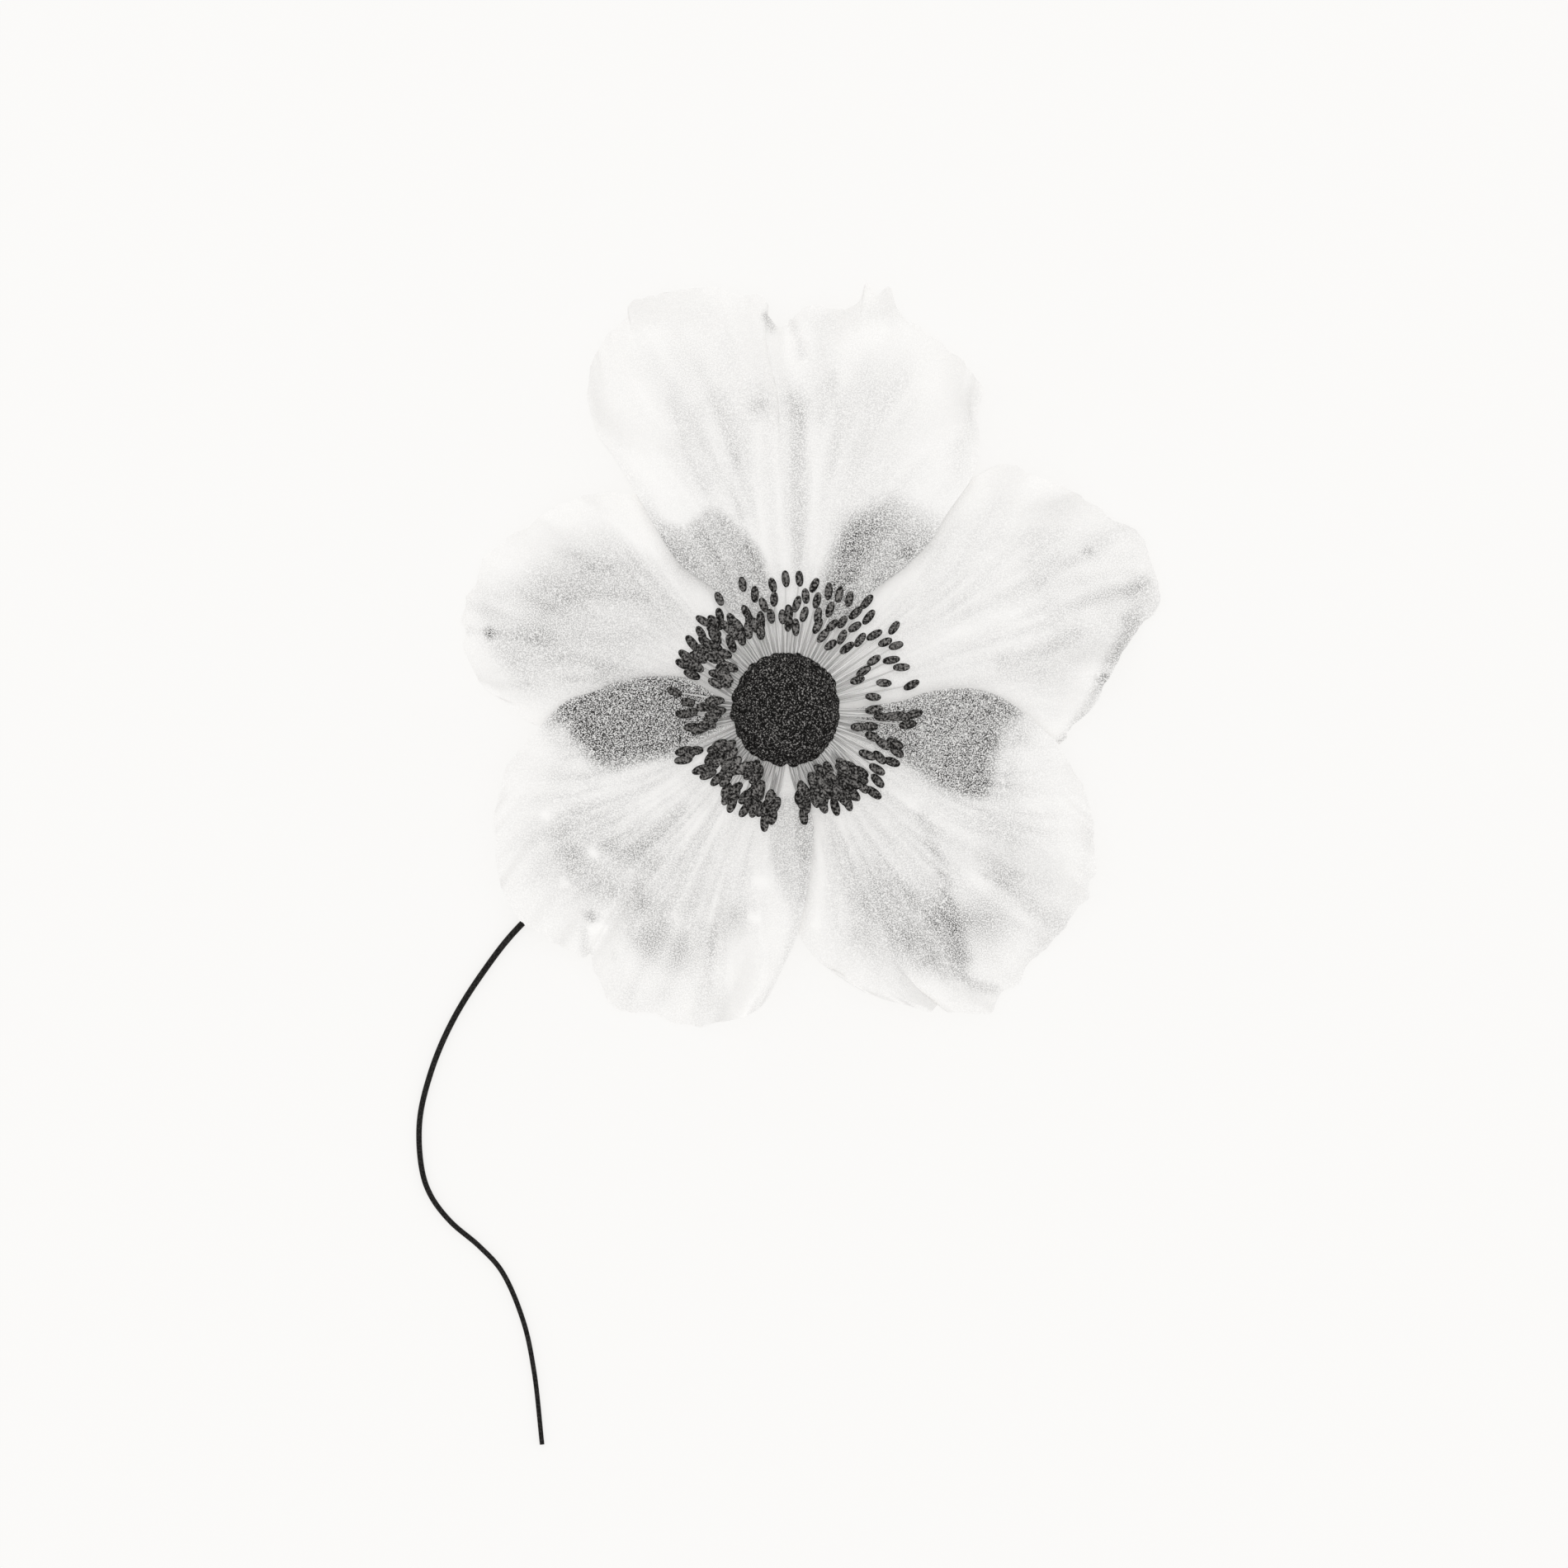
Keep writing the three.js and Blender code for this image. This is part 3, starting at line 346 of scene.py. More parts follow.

# Each outline runs out from the claw on either side, right and left as seen from the claw, and then
# round the tip from right to left. Where a petal lies beneath, a darker patch of painted shade stands
# for the light lost through both layers; it ends at that petal's margin, or sooner where its tissue
# thins out. A wave is how far the margin curls up, and the height, number and start of its waves.
# Shades are soft strokes over the blade: their line, half width and depth, which is below 0 where
# the tissue is thinner and paler. Some strokes deepen or lift the painted shade of a petal beneath,
# and a few pale ones are painted light that lifts shade, as marked. Streaks are how strongly the
# folds and veins show.
PETALS = {
    "petal_upper_left": {
        "claw": 158,
        "over": {},
        "right": [(-1.4, 9), (-0.7, 16.1), (-3.2, 20.6), (-7.2, 24.1)],
        "tip": [
            (-7.2, 24.1), (-12.5, 25.3), (-18.2, 26.1), (-22.4, 26.3), (-27.7, 24.8), (-31.9, 22.1),
            (-36.7, 18.3), (-37.7, 15.9), (-39.4, 11.1), (-38.8, 9.6), (-39.1, 7.6), (-37.9, 4.9),
            (-36.2, 2.5), (-34, 1.1), (-31.9, -0.9), (-27.4, -3.1), (-23.3, -7.2),
        ],
        "left": [(-8.5, -3.6), (-13, -6.1), (-18.6, -7), (-21.5, -7.9), (-23.3, -7.2)],
        "rests": [(-32.6, 11.6)],
        "wave": (1.6, 0.7, 4, 0.3),
        "rim": 0.015,
        "middle": 0.25,
        "streaks": 0.065,
        "shades": [
            ([(-36, 12.8), (-31, 13)], 2.6, 0.1),
            # Partly paler tissue and partly painted light, lifting the shade that the top petal casts here
            ([(-10, 13), (-13.8, 16.2), (-16, 19), (-19.4, 24.6)], 1.9, -0.17),
            ([(-29.4, 11.8), (-27, 13.4), (-23.6, 13.9), (-20.6, 14.4), (-17, 13.6)], 0.7, 0.1),
            ([(-30.4, 9.4), (-28, 12.6), (-24, 14.6)], 2.6, 0.05),
            ([(-24.4, 17.2), (-21, 16.8)], 0.6, 0.11),
            ([(-27.4, 18.8), (-23, 18.4), (-18.4, 17)], 0.7, 0.06),
            ([(-30.2, 8.2), (-28.6, 6.4)], 1.5, 0.05),
            ([(-26.4, 3.4), (-21, 4.6)], 1, 0.08),
            ([(-35.8, 9.45), (-35.7, 9.35)], 0.55, 0.75),
            ([(-38.4, 9.8), (-35.8, 9.4), (-32.6, 9.2)], 0.6, 0.09),
            ([(-35.4, 12), (-35, 8), (-33.2, 4.6), (-31, 2.6)], 1.6, 0.07),
            ([(-34, 8), (-31.4, 4.4), (-28.6, 2)], 1.8, 0.06),
            ([(-23, 11.8), (-18, 11)], 1.6, -0.06),
            ([(-17, 7), (-12, 8)], 1.8, -0.05),
        ],
        "seed": 11,
    },
    "petal_upper_right": {
        "claw": 20,
        "over": {},
        "right": [(8.5, -2.6), (14.3, -6.2), (17.4, -8.8), (20.3, -10), (23.8, -10.9)],
        "tip": [
            (23.8, -10.9), (26.3, -6.4), (29.2, -3.6), (33.3, -4.2), (35.1, -1.8), (37.3, 0.6),
            (40.1, 5.8), (41.6, 8.1), (43.3, 10.6), (44.8, 11.8), (45.1, 16.1), (44.4, 18.1),
            (43.8, 20.6), (41.8, 22.3), (39.3, 23.3), (37.3, 25.1), (32.8, 27.4), (29.6, 28.7),
            (26.3, 29.9), (22.8, 28.4), (17.8, 28.1), (10.8, 26.3),
        ],
        "left": [(3.2, 9.5), (3.3, 16.6), (4.8, 19.3), (6.1, 22.1), (8.3, 24.6), (10.8, 26.3)],
        "rests": [(37.4, 16.4)],
        "wave": (1.9, 0.8, 4, 0.1),
        "rim": 0.023,
        "middle": 0.045,
        "streaks": 0.04,
        "shades": [
            ([(41.6, 9.6), (40, 7), (38.4, 4)], 0.9, 0.3),
            ([(38.4, 4), (36.6, 0.6), (35, -1.8), (33.4, -3.6)], 0.65, 0.22),
            ([(41.2, 11.1), (42.6, 10.9)], 0.75, 0.36),
            ([(41.6, 14.2), (43, 15.3)], 1, 0.24),
            ([(36.5, 19.3), (36.7, 19.2)], 0.55, 0.2),
            ([(26.4, 5.8), (31.4, 7), (35, 9.4)], 1, 0.09),
            ([(27.4, 4.4), (31, 4)], 1.8, 0.045),
            ([(32, 4.6), (36, 7.4), (39, 11)], 2.8, 0.07),
            ([(31, 12.8), (38, 13), (43.5, 13)], 3.4, 0.12),
            ([(42.2, 12.6), (40, 13.4)], 1.6, 0.07),
            ([(40.6, 21.2), (33, 17.4)], 4, 0.06),
            # Painted light, lifting the shade that the top petal's margin casts here
            ([(11.1, 13.1), (15.2, 16.4)], 1.3, -0.06),
            ([(17.4, 14.6), (22.4, 20)], 3.4, 0.03),
            ([(14, 8), (22, 12)], 5, 0.035),
            ([(31, 15.4), (36, 15.8), (42, 17)], 0.8, 0.06),
            ([(30, 18), (36, 18.6), (42, 18.4)], 0.9, 0.05),
            ([(25.5, 20.8), (33, 21), (39, 20.4)], 1.3, 0.04),
            ([(18, 20), (26, 24.6), (34, 24.4)], 1.5, 0.035),
            ([(28, 0.6), (32, -0.4)], 1.6, 0.03),
        ],
        "seed": 12,
    },
    "petal_lower_right": {
        "claw": 306,
        "over": {
            "petal_upper_right": {
                "shade": 0.77,
                "softness": 2.3,
                "onset": SOFT_ONSET,
                "shows": [
                    (6, 5), (8, -3.4), (14, -6.9), (17.2, -9.3), (20.3, -10.9), (23.8, -11.2),
                    (25.7, -9.6), (26.3, -5), (27, -3), (28.6, -1.4), (30, -0.8), (31, 3), (20, 7),
                ],
            },
        },
        "right": [
            (-1.2, -8.5), (-1.9, -12.9), (-2.1, -18.9), (-0.7, -21.4), (1.5, -27), (4.1, -30.4),
            (6.8, -31.9),
        ],
        "tip": [
            (6.8, -31.9), (9.8, -34.2), (14.8, -35.7), (17.8, -36.4), (18.8, -35.9), (19.8, -36.7),
            (22.8, -36.6), (25.3, -36.4), (26.3, -34.4), (28.8, -32.9), (29.4, -31.4), (31.3, -29.4),
            (33.3, -26.9), (35.8, -23.9), (37.1, -20.9), (37.4, -17.9), (37.3, -15.4), (37.1, -12.9),
            (36, -9.4), (34.8, -7.4), (32.8, -3.9),
        ],
        "left": [
            (8.6, 0.2), (14.3, 1.2), (16.8, 2.1), (19.8, 2.6), (22.6, 2.6), (25.3, 1.9), (28.3, 0.1),
            (32.8, -3.9),
        ],
        "rests": [(24.4, -26.4)],
        "wave": (1.7, 0.8, 5, 0.6),
        "rim": 0.045,
        "middle": 0.14,
        "streaks": 0.08,
        "shades": [
            ([(16.6, -12.6), (17.6, -15.6), (19, -19.6), (20.3, -25.4)], 0.75, 0.14),
            ([(18.4, -21), (19.8, -25)], 1.4, 0.08),
            ([(20.4, -27), (20.8, -28.6), (21.2, -30)], 1.2, 0.46),
            # A pale stroke that lifts the painted shade of the upper right petal beneath
            ([(17.4, -5.2), (21, -7), (24, -7.4)], 1.6, -0.13),
            ([(21.2, -26), (21.4, -26.6)], 0.7, 0.1),
            ([(18.2, -26), (18.8, -29.4)], 1.6, 0.17),
            ([(17.2, -24.6), (17.4, -28)], 1.3, 0.07),
            ([(15.4, -22.8), (18.2, -24.4), (19.6, -25.6)], 1.9, 0.14),
            ([(9.4, -20.4), (12.4, -22), (15, -22.4)], 2.2, 0.09),
            ([(10.6, -24.4), (13, -26.2), (16.4, -26)], 1.8, 0.12),
            ([(8.6, -22.4), (10.6, -24.6)], 1.2, 0.07),
            ([(9.4, -27), (14.4, -29)], 1.9, 0.12),
            ([(31.4, -25.6), (27, -22)], 2.6, 0.13),
            ([(28.4, -18.6), (29.2, -22.6)], 1.5, -0.05),
            ([(5.4, -24), (8, -29), (13, -32)], 2.2, 0.035),
            # These two carry the painted shade of the upper right petal beneath past its margin
            ([(27.4, -3.4), (26.6, -8)], 1.4, 0.1),
            ([(28.4, -2.4), (29.4, -1.2)], 1.4, 0.12),
            ([(15.4, -27.6), (17.4, -30)], 1.6, 0.13),
            ([(16.6, -31), (19.4, -31.8)], 1.2, 0.11),
            ([(7, -15), (10, -18), (14, -20.4)], 2.2, 0.05),
            ([(20.8, -31.6), (22.6, -33.2), (25.2, -33.8)], 0.7, 0.2),
            ([(15.4, -11), (19.6, -13), (22, -16), (23, -20)], 1.8, -0.08),
            ([(4, -14), (4.2, -20), (3.8, -26)], 0.7, -0.06),
            ([(24, -26.6), (25.4, -30.6)], 2.4, 0.06),
            ([(27.6, -4), (31, -5.6)], 1.8, 0.07),
            ([(25.2, -11), (26, -14), (26.6, -17), (26.2, -21), (24.8, -24.6)], 2.2, 0.05),
            # A pale stroke that lifts the painted shade of the upper right petal beneath
            ([(18.2, -4.8), (17.5, -6.3)], 1, -0.16),
            ([(22.4, -24.2), (23.8, -25.4)], 1.1, 0.08),
            ([(36.4, -14), (36, -20), (33.4, -25.4), (29.6, -30)], 0.9, 0.03),
        ],
        "seed": 13,
    },
    "petal_top": {
        "claw": 90,
        "over": {
            "petal_upper_left": {
                "shade": 0.37,
                "softness": 1.2,
                "thins": (22, 31),
                "shows": [
                    (-1, 10), (-1.4, 15), (-2.4, 18.7), (-4.6, 21.6), (-7.6, 24.3), (-9.4, 25),
                    (-10.8, 23.8), (-12.2, 22.5), (-14.2, 23), (-17.8, 26), (-20, 24), (-12, 12),
                ],
            },
            "petal_upper_right": {
                "shade": 0.46,
                "softness": 2.3,
                "thins": (24, 31.5),
                "shows": [
                    (3.2, 10), (3.8, 16), (5.1, 19.8), (7, 22.8), (9.8, 25.6), (12, 27.2),
                    (15, 26.8), (20, 25.4), (22, 22), (14, 12), (8, 8),
                ],
            },
        },
        "right": [
            (5.6, 8.8), (10.3, 14.1), (14.8, 17.6), (17.6, 20.6), (19.4, 23.6), (22.9, 28.9),
            (23.4, 32.6), (23.1, 35.6), (23.9, 38.7),
        ],
        "tip": [
            (23.9, 38.7), (22.5, 41.1), (19.6, 44.1), (17, 46.1), (13.8, 48.6), (12.5, 51.4),
            (11, 50.4), (9.8, 51.7), (9, 49.9), (7.3, 48.8), (3.3, 49), (0.6, 47.6), (-0.7, 46.8),
            (-2.2, 48.1), (-2.2, 49.5), (-5.2, 50.6), (-8.4, 51.2), (-12.2, 50.8), (-18.9, 49.3),
            (-19.2, 47.9), (-21.9, 45.3), (-23.4, 42.1), (-24, 38.1),
        ],
        "left": [
            (-4.6, 8.8), (-8.4, 14.3), (-12.4, 17.3), (-14.4, 19.9), (-17.8, 25.7), (-20.7, 30.6),
            (-22.5, 33.1), (-23.4, 35.6), (-24, 38.1),
        ],
        "rests": [(-14, 41.5), (12, 41.5)],
        "wave": (1.7, 0.9, 5, 0.2),
        "rim": 0.023,
        "middle": 0.08,
        "streaks": 0.036,
        "shades": [
            ([(-13, 43), (-5, 44)], 3.4, 0.015),
            ([(5, 44), (13, 43.5)], 3, 0.015),
            ([(15, 33), (17, 38)], 2.6, -0.04),
            ([(-16, 39), (-15, 34)], 2.6, -0.04),
            ([(-10, 38), (-6, 28)], 3.4, 0.035),
            ([(5, 39), (8, 30)], 3, 0.02),
            ([(0.9, 38.2), (1.3, 36)], 0.95, 0.1),
            ([(-20.6, 30.6), (-17.8, 25.7)], 1.6, 0.03),
            ([(22, 30), (18.6, 24)], 2, 0.035),
            ([(1.7, 37), (1.8, 28), (1.6, 17)], 0.85, 0.1),
            ([(0.6, 38), (0.9, 28), (0.9, 20)], 0.35, 0.04),
            ([(-3.7, 36.8), (-2.8, 37.4)], 0.9, 0.12),
            ([(-4.4, 37), (4, 38)], 2.6, 0.03),
            ([(-3.4, 34), (-2.6, 19)], 0.8, -0.055),
            ([(-1.2, 34), (-0.6, 18)], 0.6, -0.05),
            ([(3.6, 34), (3.4, 18)], 0.9, -0.055),
            ([(-7.4, 37.6), (-6, 31), (-5.2, 24)], 1.2, 0.055),
            ([(-6, 31), (-5.8, 30.2)], 0.5, 0.06),
            ([(-13.8, 37.4), (-11.6, 31), (-9.8, 26.8)], 0.8, 0.05),
            ([(-11, 36), (-9, 29)], 1.4, 0.03),
            ([(-2.3, 47.6), (-1.7, 46.1)], 0.5, 0.3),
            ([(0.5, 47.6), (1.4, 45.4), (1.9, 43)], 0.6, 0.12),
            ([(5.6, 41), (6.2, 36), (5.4, 28)], 0.7, 0.04),
            ([(22.6, 38), (22, 34), (20.6, 30)], 1.3, 0.05),
            ([(-16, 47.6), (-6, 48.6)], 2, 0.025),
            ([(4, 46.8), (12.4, 48.6)], 1.6, 0.05),
            # These strokes deepen, and one lifts, the painted shade of the petals beneath
            ([(5.6, 14), (7.3, 18), (9, 21.6)], 2.1, 0.28),
            ([(13.4, 22), (16.8, 20.6)], 2.2, 0.05),
            ([(14.4, 19), (14.8, 18.8)], 0.6, 0.4),
            ([(-12.2, 17.6), (-14.4, 20.2), (-16.8, 24)], 1.1, 0.1),
            ([(-12, 21.6), (-9.4, 17.4)], 0.5, -0.08),
            ([(-9.6, 20.8), (-7, 16.8)], 0.7, 0.07),
            ([(-4.4, 19.6), (-2.4, 15.4)], 0.8, 0.14),
        ],
        "seed": 14,
    },
    "petal_lower_left": {
        "claw": 232,
        "over": {
            "petal_upper_left": {"shade": 1.01, "softness": 2.6, "onset": SOFT_ONSET},
            "petal_lower_right": {
                "shade": 0.17,
                "softness": 0.9,
                "thins": (19, 28),
                "shows": [
                    (-2, -10), (-2.2, -15), (-2.1, -18.4), (-0.9, -21.4), (0.5, -25.4), (0.2, -29),
                    (6, -29), (8, -10),
                ],
            },
        },
        "right": [
            (-7.6, 1.2), (-12.2, 3.9), (-15.7, 4.1), (-18.6, 3.8), (-21, 3.2), (-23.6, 2.1),
            (-26.2, 1.3), (-28.6, -0.8), (-30.3, -2.7), (-33.6, -6.5),
        ],
        "tip": [
            (-33.6, -6.5), (-35, -11.5), (-35.1, -14.4), (-34.7, -20.3), (-33.9, -22.6),
            (-31.5, -25.9), (-29.5, -27), (-27.7, -28.5), (-26.2, -29.4), (-24.5, -29.9),
            (-23.5, -29.3), (-23.3, -31.1), (-21.8, -34.9), (-20.4, -36.1), (-18.6, -36.8),
            (-16.3, -37), (-14.2, -37.9), (-9.2, -38.2), (-7.5, -37.6), (-5.4, -37.3), (-3.7, -36.4),
            (-2.2, -34.9),
        ],
        "left": [
            (1.6, -8.4), (3.1, -12.4), (3.4, -14.4), (3.2, -17.4), (2.5, -22.6), (1, -28.2),
            (-0.1, -30.5), (-2.2, -34.9),
        ],
        "rests": [(-14, -31.5)],
        "wave": (1.6, 0.7, 5, 0.8),
        "rim": 0.042,
        "middle": 0.125,
        "streaks": 0.085,
        "shades": [
            ([(-27, -15.6), (-25.6, -17.6), (-24, -19.6)], 1.6, 0.15),
            ([(-25.4, -20), (-21.4, -21.6)], 1.5, 0.15),
            ([(-21.4, -16.2), (-18.6, -17.6), (-16.6, -18.4)], 1.3, 0.17),
            ([(-17.4, -16.4), (-15.2, -15.2), (-12.4, -12)], 0.8, 0.11),
            ([(-18.5, -24), (-16, -28.5), (-11, -28.5)], 3, 0.035),
            ([(-26, -12.6), (-22, -13), (-18.6, -14.6)], 2.2, 0.06),
            ([(-18, -21.4), (-17, -23.6)], 1, 0.12),
            ([(-17.6, -23.6), (-18, -27), (-16.6, -29)], 1.5, 0.14),
            ([(-15.4, -27.4), (-12.6, -29.4), (-10, -28)], 1.5, 0.15),
            ([(-15.6, -30.8), (-11.6, -31)], 1.3, 0.07),
            ([(-9.6, -26.6), (-7, -25.4), (-5.8, -24.4)], 1.3, 0.1),
            ([(-15.4, -24), (-14, -26)], 1, 0.05),
            ([(-23.7, -24.8), (-23.4, -25.1)], 0.65, 0.26),
            ([(-24.4, -26.6), (-24.3, -28.6)], 0.6, 0.12),
            ([(-24.4, -29.2), (-23.8, -29.3)], 0.5, 0.1),
            ([(-20.8, -29.6), (-20.6, -30)], 0.5, 0.07),
            ([(-23.4, -26.4), (-22.2, -26.2)], 0.6, -0.1),
            ([(-18, -34), (-8, -35)], 2.4, 0.055),
            ([(-23.4, -17), (-23, -17.4)], 0.6, -0.19),
            # Painted light, lifting the shade on the curled margin
            ([(-5.6, -28.6), (-5.6, -36)], 1.5, -0.09),
            ([(-26.8, -20.6), (-26.6, -20.8)], 0.5, -0.12),
            ([(-29, -12.7), (-28.8, -12.9)], 0.6, -0.16),
            ([(-3.4, -20.6), (-2.8, -20.8)], 0.8, -0.1),
            ([(-4.1, -24.8), (-3.6, -25.2)], 0.6, -0.1),
            ([(-13.8, -25), (-12.2, -26)], 0.9, -0.08),
            ([(-28, -8), (-31, -15), (-29.4, -21.4)], 2, 0.035),
            # These two deepen the painted shade of the lower right petal beneath
            ([(2.3, -12.6), (2.2, -17)], 1.3, 0.15),
            ([(2.2, -17.4), (1.8, -22)], 1, 0.05),
            ([(2.7, -18), (1.4, -26), (-1, -32.4), (-4.2, -36.6)], 0.6, 0.06),
            # These two deepen and lift the painted shade of the upper left petal beneath
            ([(-28.2, -2.8), (-25.8, -4.9)], 1.4, 0.14),
            ([(-28, -1.2), (-26.4, -2.4)], 0.9, -0.3),
        ],
        "seed": 15,
    },
}


def ramp(value, low, high):
    """A smooth step from 0 to 1."""
    share = np.clip((value - low) / (high - low), 0, 1)
    return share**2 * (3 - 2 * share)


def uneven(x, y, seed):
    """Smooth random waves from -1 to 1, about one unit long."""
    lattice = np.random.default_rng(seed).uniform(-1, 1, (REPEATS, REPEATS))
    i, j = np.floor(x).astype(int), np.floor(y).astype(int)
    s, t = ramp(x - i, 0, 1), ramp(y - j, 0, 1)
    i, j, after_i, after_j = i % REPEATS, j % REPEATS, (i + 1) % REPEATS, (j + 1) % REPEATS
    low = lattice[i, j] * (1 - s) + lattice[after_i, j] * s
    high = lattice[i, after_j] * (1 - s) + lattice[after_i, after_j] * s
    return low * (1 - t) + high * t


def spread_over(petal, across, along):
    """Points of a petal seen from above, in rows from the claw to the tip, each from right to left."""
    right_angle, left_angle = petal["claw"] - CLAW_HALF_ANGLE, petal["claw"] + CLAW_HALF_ANGLE
    angles = np.radians(right_angle + (left_angle - right_angle) * across)
    claw = CLAW_REACH * np.stack([np.cos(angles), np.sin(angles)], 1)
    right_corner, left_corner = (
        CLAW_REACH * np.array([math.cos(math.radians(a)), math.sin(math.radians(a))])
        for a in (right_angle, left_angle)
    )
    tip = curve_at(petal["tip"], across)
    right = curve_evenly([right_corner, *petal["right"]], along)
    left = curve_evenly([left_corner, *petal["left"]], along)
    u, v = across[None, :, None], along[:, None, None]
    return (
        (1 - v) * claw[None]
        + v * tip[None]
        + (1 - u) * right[:, None]
        + u * left[:, None]
        - (1 - u) * (1 - v) * right_corner
        - u * (1 - v) * left_corner
        - (1 - u) * v * np.array(petal["tip"][0])
        - u * v * np.array(petal["tip"][-1])
    )


def outline_of(petal):
    """The outline of a petal in the frame, from the tip's right end round to where it started."""
    columns = np.linspace(0, 1, OUTLINE_STEPS * (len(petal["tip"]) - 1) + 1)
    rows = np.linspace(0, 1, OUTLINE_ROWS)
    grid = spread_over(petal, columns, rows)
    return np.concatenate([grid[-1], grid[-2::-1, -1], grid[:-1, 0]])


def distance_to_line(points, line, closed):
    """How far points lie from a line through corners."""
    starts = np.asarray(line, float)
    ends = np.roll(starts, -1, axis=0)
    if not closed:
        starts, ends = starts[:-1], ends[:-1]
    spans = ends - starts
    nearest = np.full(len(points), np.inf)
    for start, span in zip(starts, spans):
        share = np.clip((points - start) @ span / max(span @ span, 1e-9), 0, 1)
        nearest = np.minimum(nearest, np.linalg.norm(points - start - share[:, None] * span, axis=1))
    return nearest


def depth_inside(points, outline):
    """How far points lie inside a closed outline: below 0 outside it."""
    inside = np.zeros(len(points), bool)
    x, y = points[:, 0], points[:, 1]
    for a, b in zip(outline, np.roll(outline, -1, axis=0)):
        if a[1] == b[1]:
            continue
        crosses = (a[1] > y) != (b[1] > y)
        inside ^= crosses & (x < a[0] + (y - a[1]) * (b[0] - a[0]) / (b[1] - a[1]))
    away = distance_to_line(points, outline, True)
    return np.where(inside, away, -away)


outlines = {name: outline_of(petal) for name, petal in PETALS.items()}


def raised_by(name, points):
    """How far a petal is raised by those beneath it."""
    raised = np.zeros(len(points))
    for beneath in PETALS[name]["over"]:
        outside = np.maximum(-depth_inside(points, outlines[beneath]), 0)
        held = 1 - ramp(outside, HOLD, SETTLE)
        raised = np.maximum(raised, held * (LAYER_STEP + raised_by(beneath, points)))
    return raised


def streaks_of(name, points):
    """Soft folds and finer veins from -1 to 1. They fan out from the claw and bend outward, so that
    they meet the margin squarely."""
    petal = PETALS[name]
    turn = math.radians(petal["claw"])
    ahead = np.array([math.cos(turn), math.sin(turn)])
    from_fan = points + FAN_BACK * ahead
    aside = from_fan @ np.array([-ahead[1], ahead[0]])
    reach = np.linalg.norm(from_fan, axis=1)
    angle = np.degrees(np.arctan2(aside, from_fan @ ahead))
    vein = angle / (1 + VEIN_SPLAY * (reach / VEIN_REACH) ** 2)
    across, along = vein / FOLD_ANGLE, reach / FOLD_LENGTH
    folds = COARSE_FOLDS * uneven(across, along, petal["seed"] + 2)
    folds += FINE_FOLDS * uneven(across * FINER_ACROSS, along * FINER_ALONG, petal["seed"] + 3)
    veins = uneven(vein / VEIN_ANGLE, reach / VEIN_LENGTH, petal["seed"] + 4)
    return folds, veins


def petal_heights(name, points, u, v, margin_places):
    """Height of a petal's middle surface: the shell, the petals beneath, the curled margin, the low
    ridge over the stem, and the flat spots that it rests on."""
    petal = PETALS[name]
    reach = np.maximum(np.hypot(*points.T) - CLAW_REACH, 0)
    fall = SHELL["rise"] * np.exp(-((reach / SHELL["width"]) ** SHELL["power"]))
    round_bloom = np.cos(len(PETALS) * (np.arctan2(points[:, 1], points[:, 0]) - math.pi / 2))
    shell = SHELL["low"] + fall - SHELL["trough"] * ramp(reach, *SHELL["fade"]) * round_bloom

    others = [outlines[other] for other in PETALS if other != name]
    outside = [np.maximum(-depth_inside(points, outline), 0) for outline in others]
    free = ramp(np.min(outside, axis=0), *CURL_CLEAR)
    curl, wave, waves, start = petal["wave"]
    margin = free * ramp(v, CURL_FROM, 1) * (curl + wave * np.sin(2 * math.pi * (waves * u + start)))
    ruffled = uneven(margin_places / RUFFLE_WIDTH, v * RUFFLES_ALONG, petal["seed"] + 20)
    ruffles = RUFFLE * free * ramp(v, RUFFLE_FROM, 1) * ruffled
    height = shell + raised_by(name, points) + margin + ruffles

    to_stem = distance_to_line(points, [(0, 0), STEM_ROUTE[STEM_EMERGES]], False)
    ridge = RIDGE["crest"] - RIDGE["fall"] * to_stem**2
    near = np.maximum(RIDGE["rounding"] - np.abs(height - ridge), 0) / RIDGE["rounding"]
    height = np.maximum(height, ridge) + near**2 * RIDGE["rounding"] / 4
    for spot in petal["rests"]:
        away = ramp(np.linalg.norm(points - np.array(spot), axis=1), REST_FLAT, REST_FADE)
        height = BLADE / 2 + (height - BLADE / 2) * away
    return height


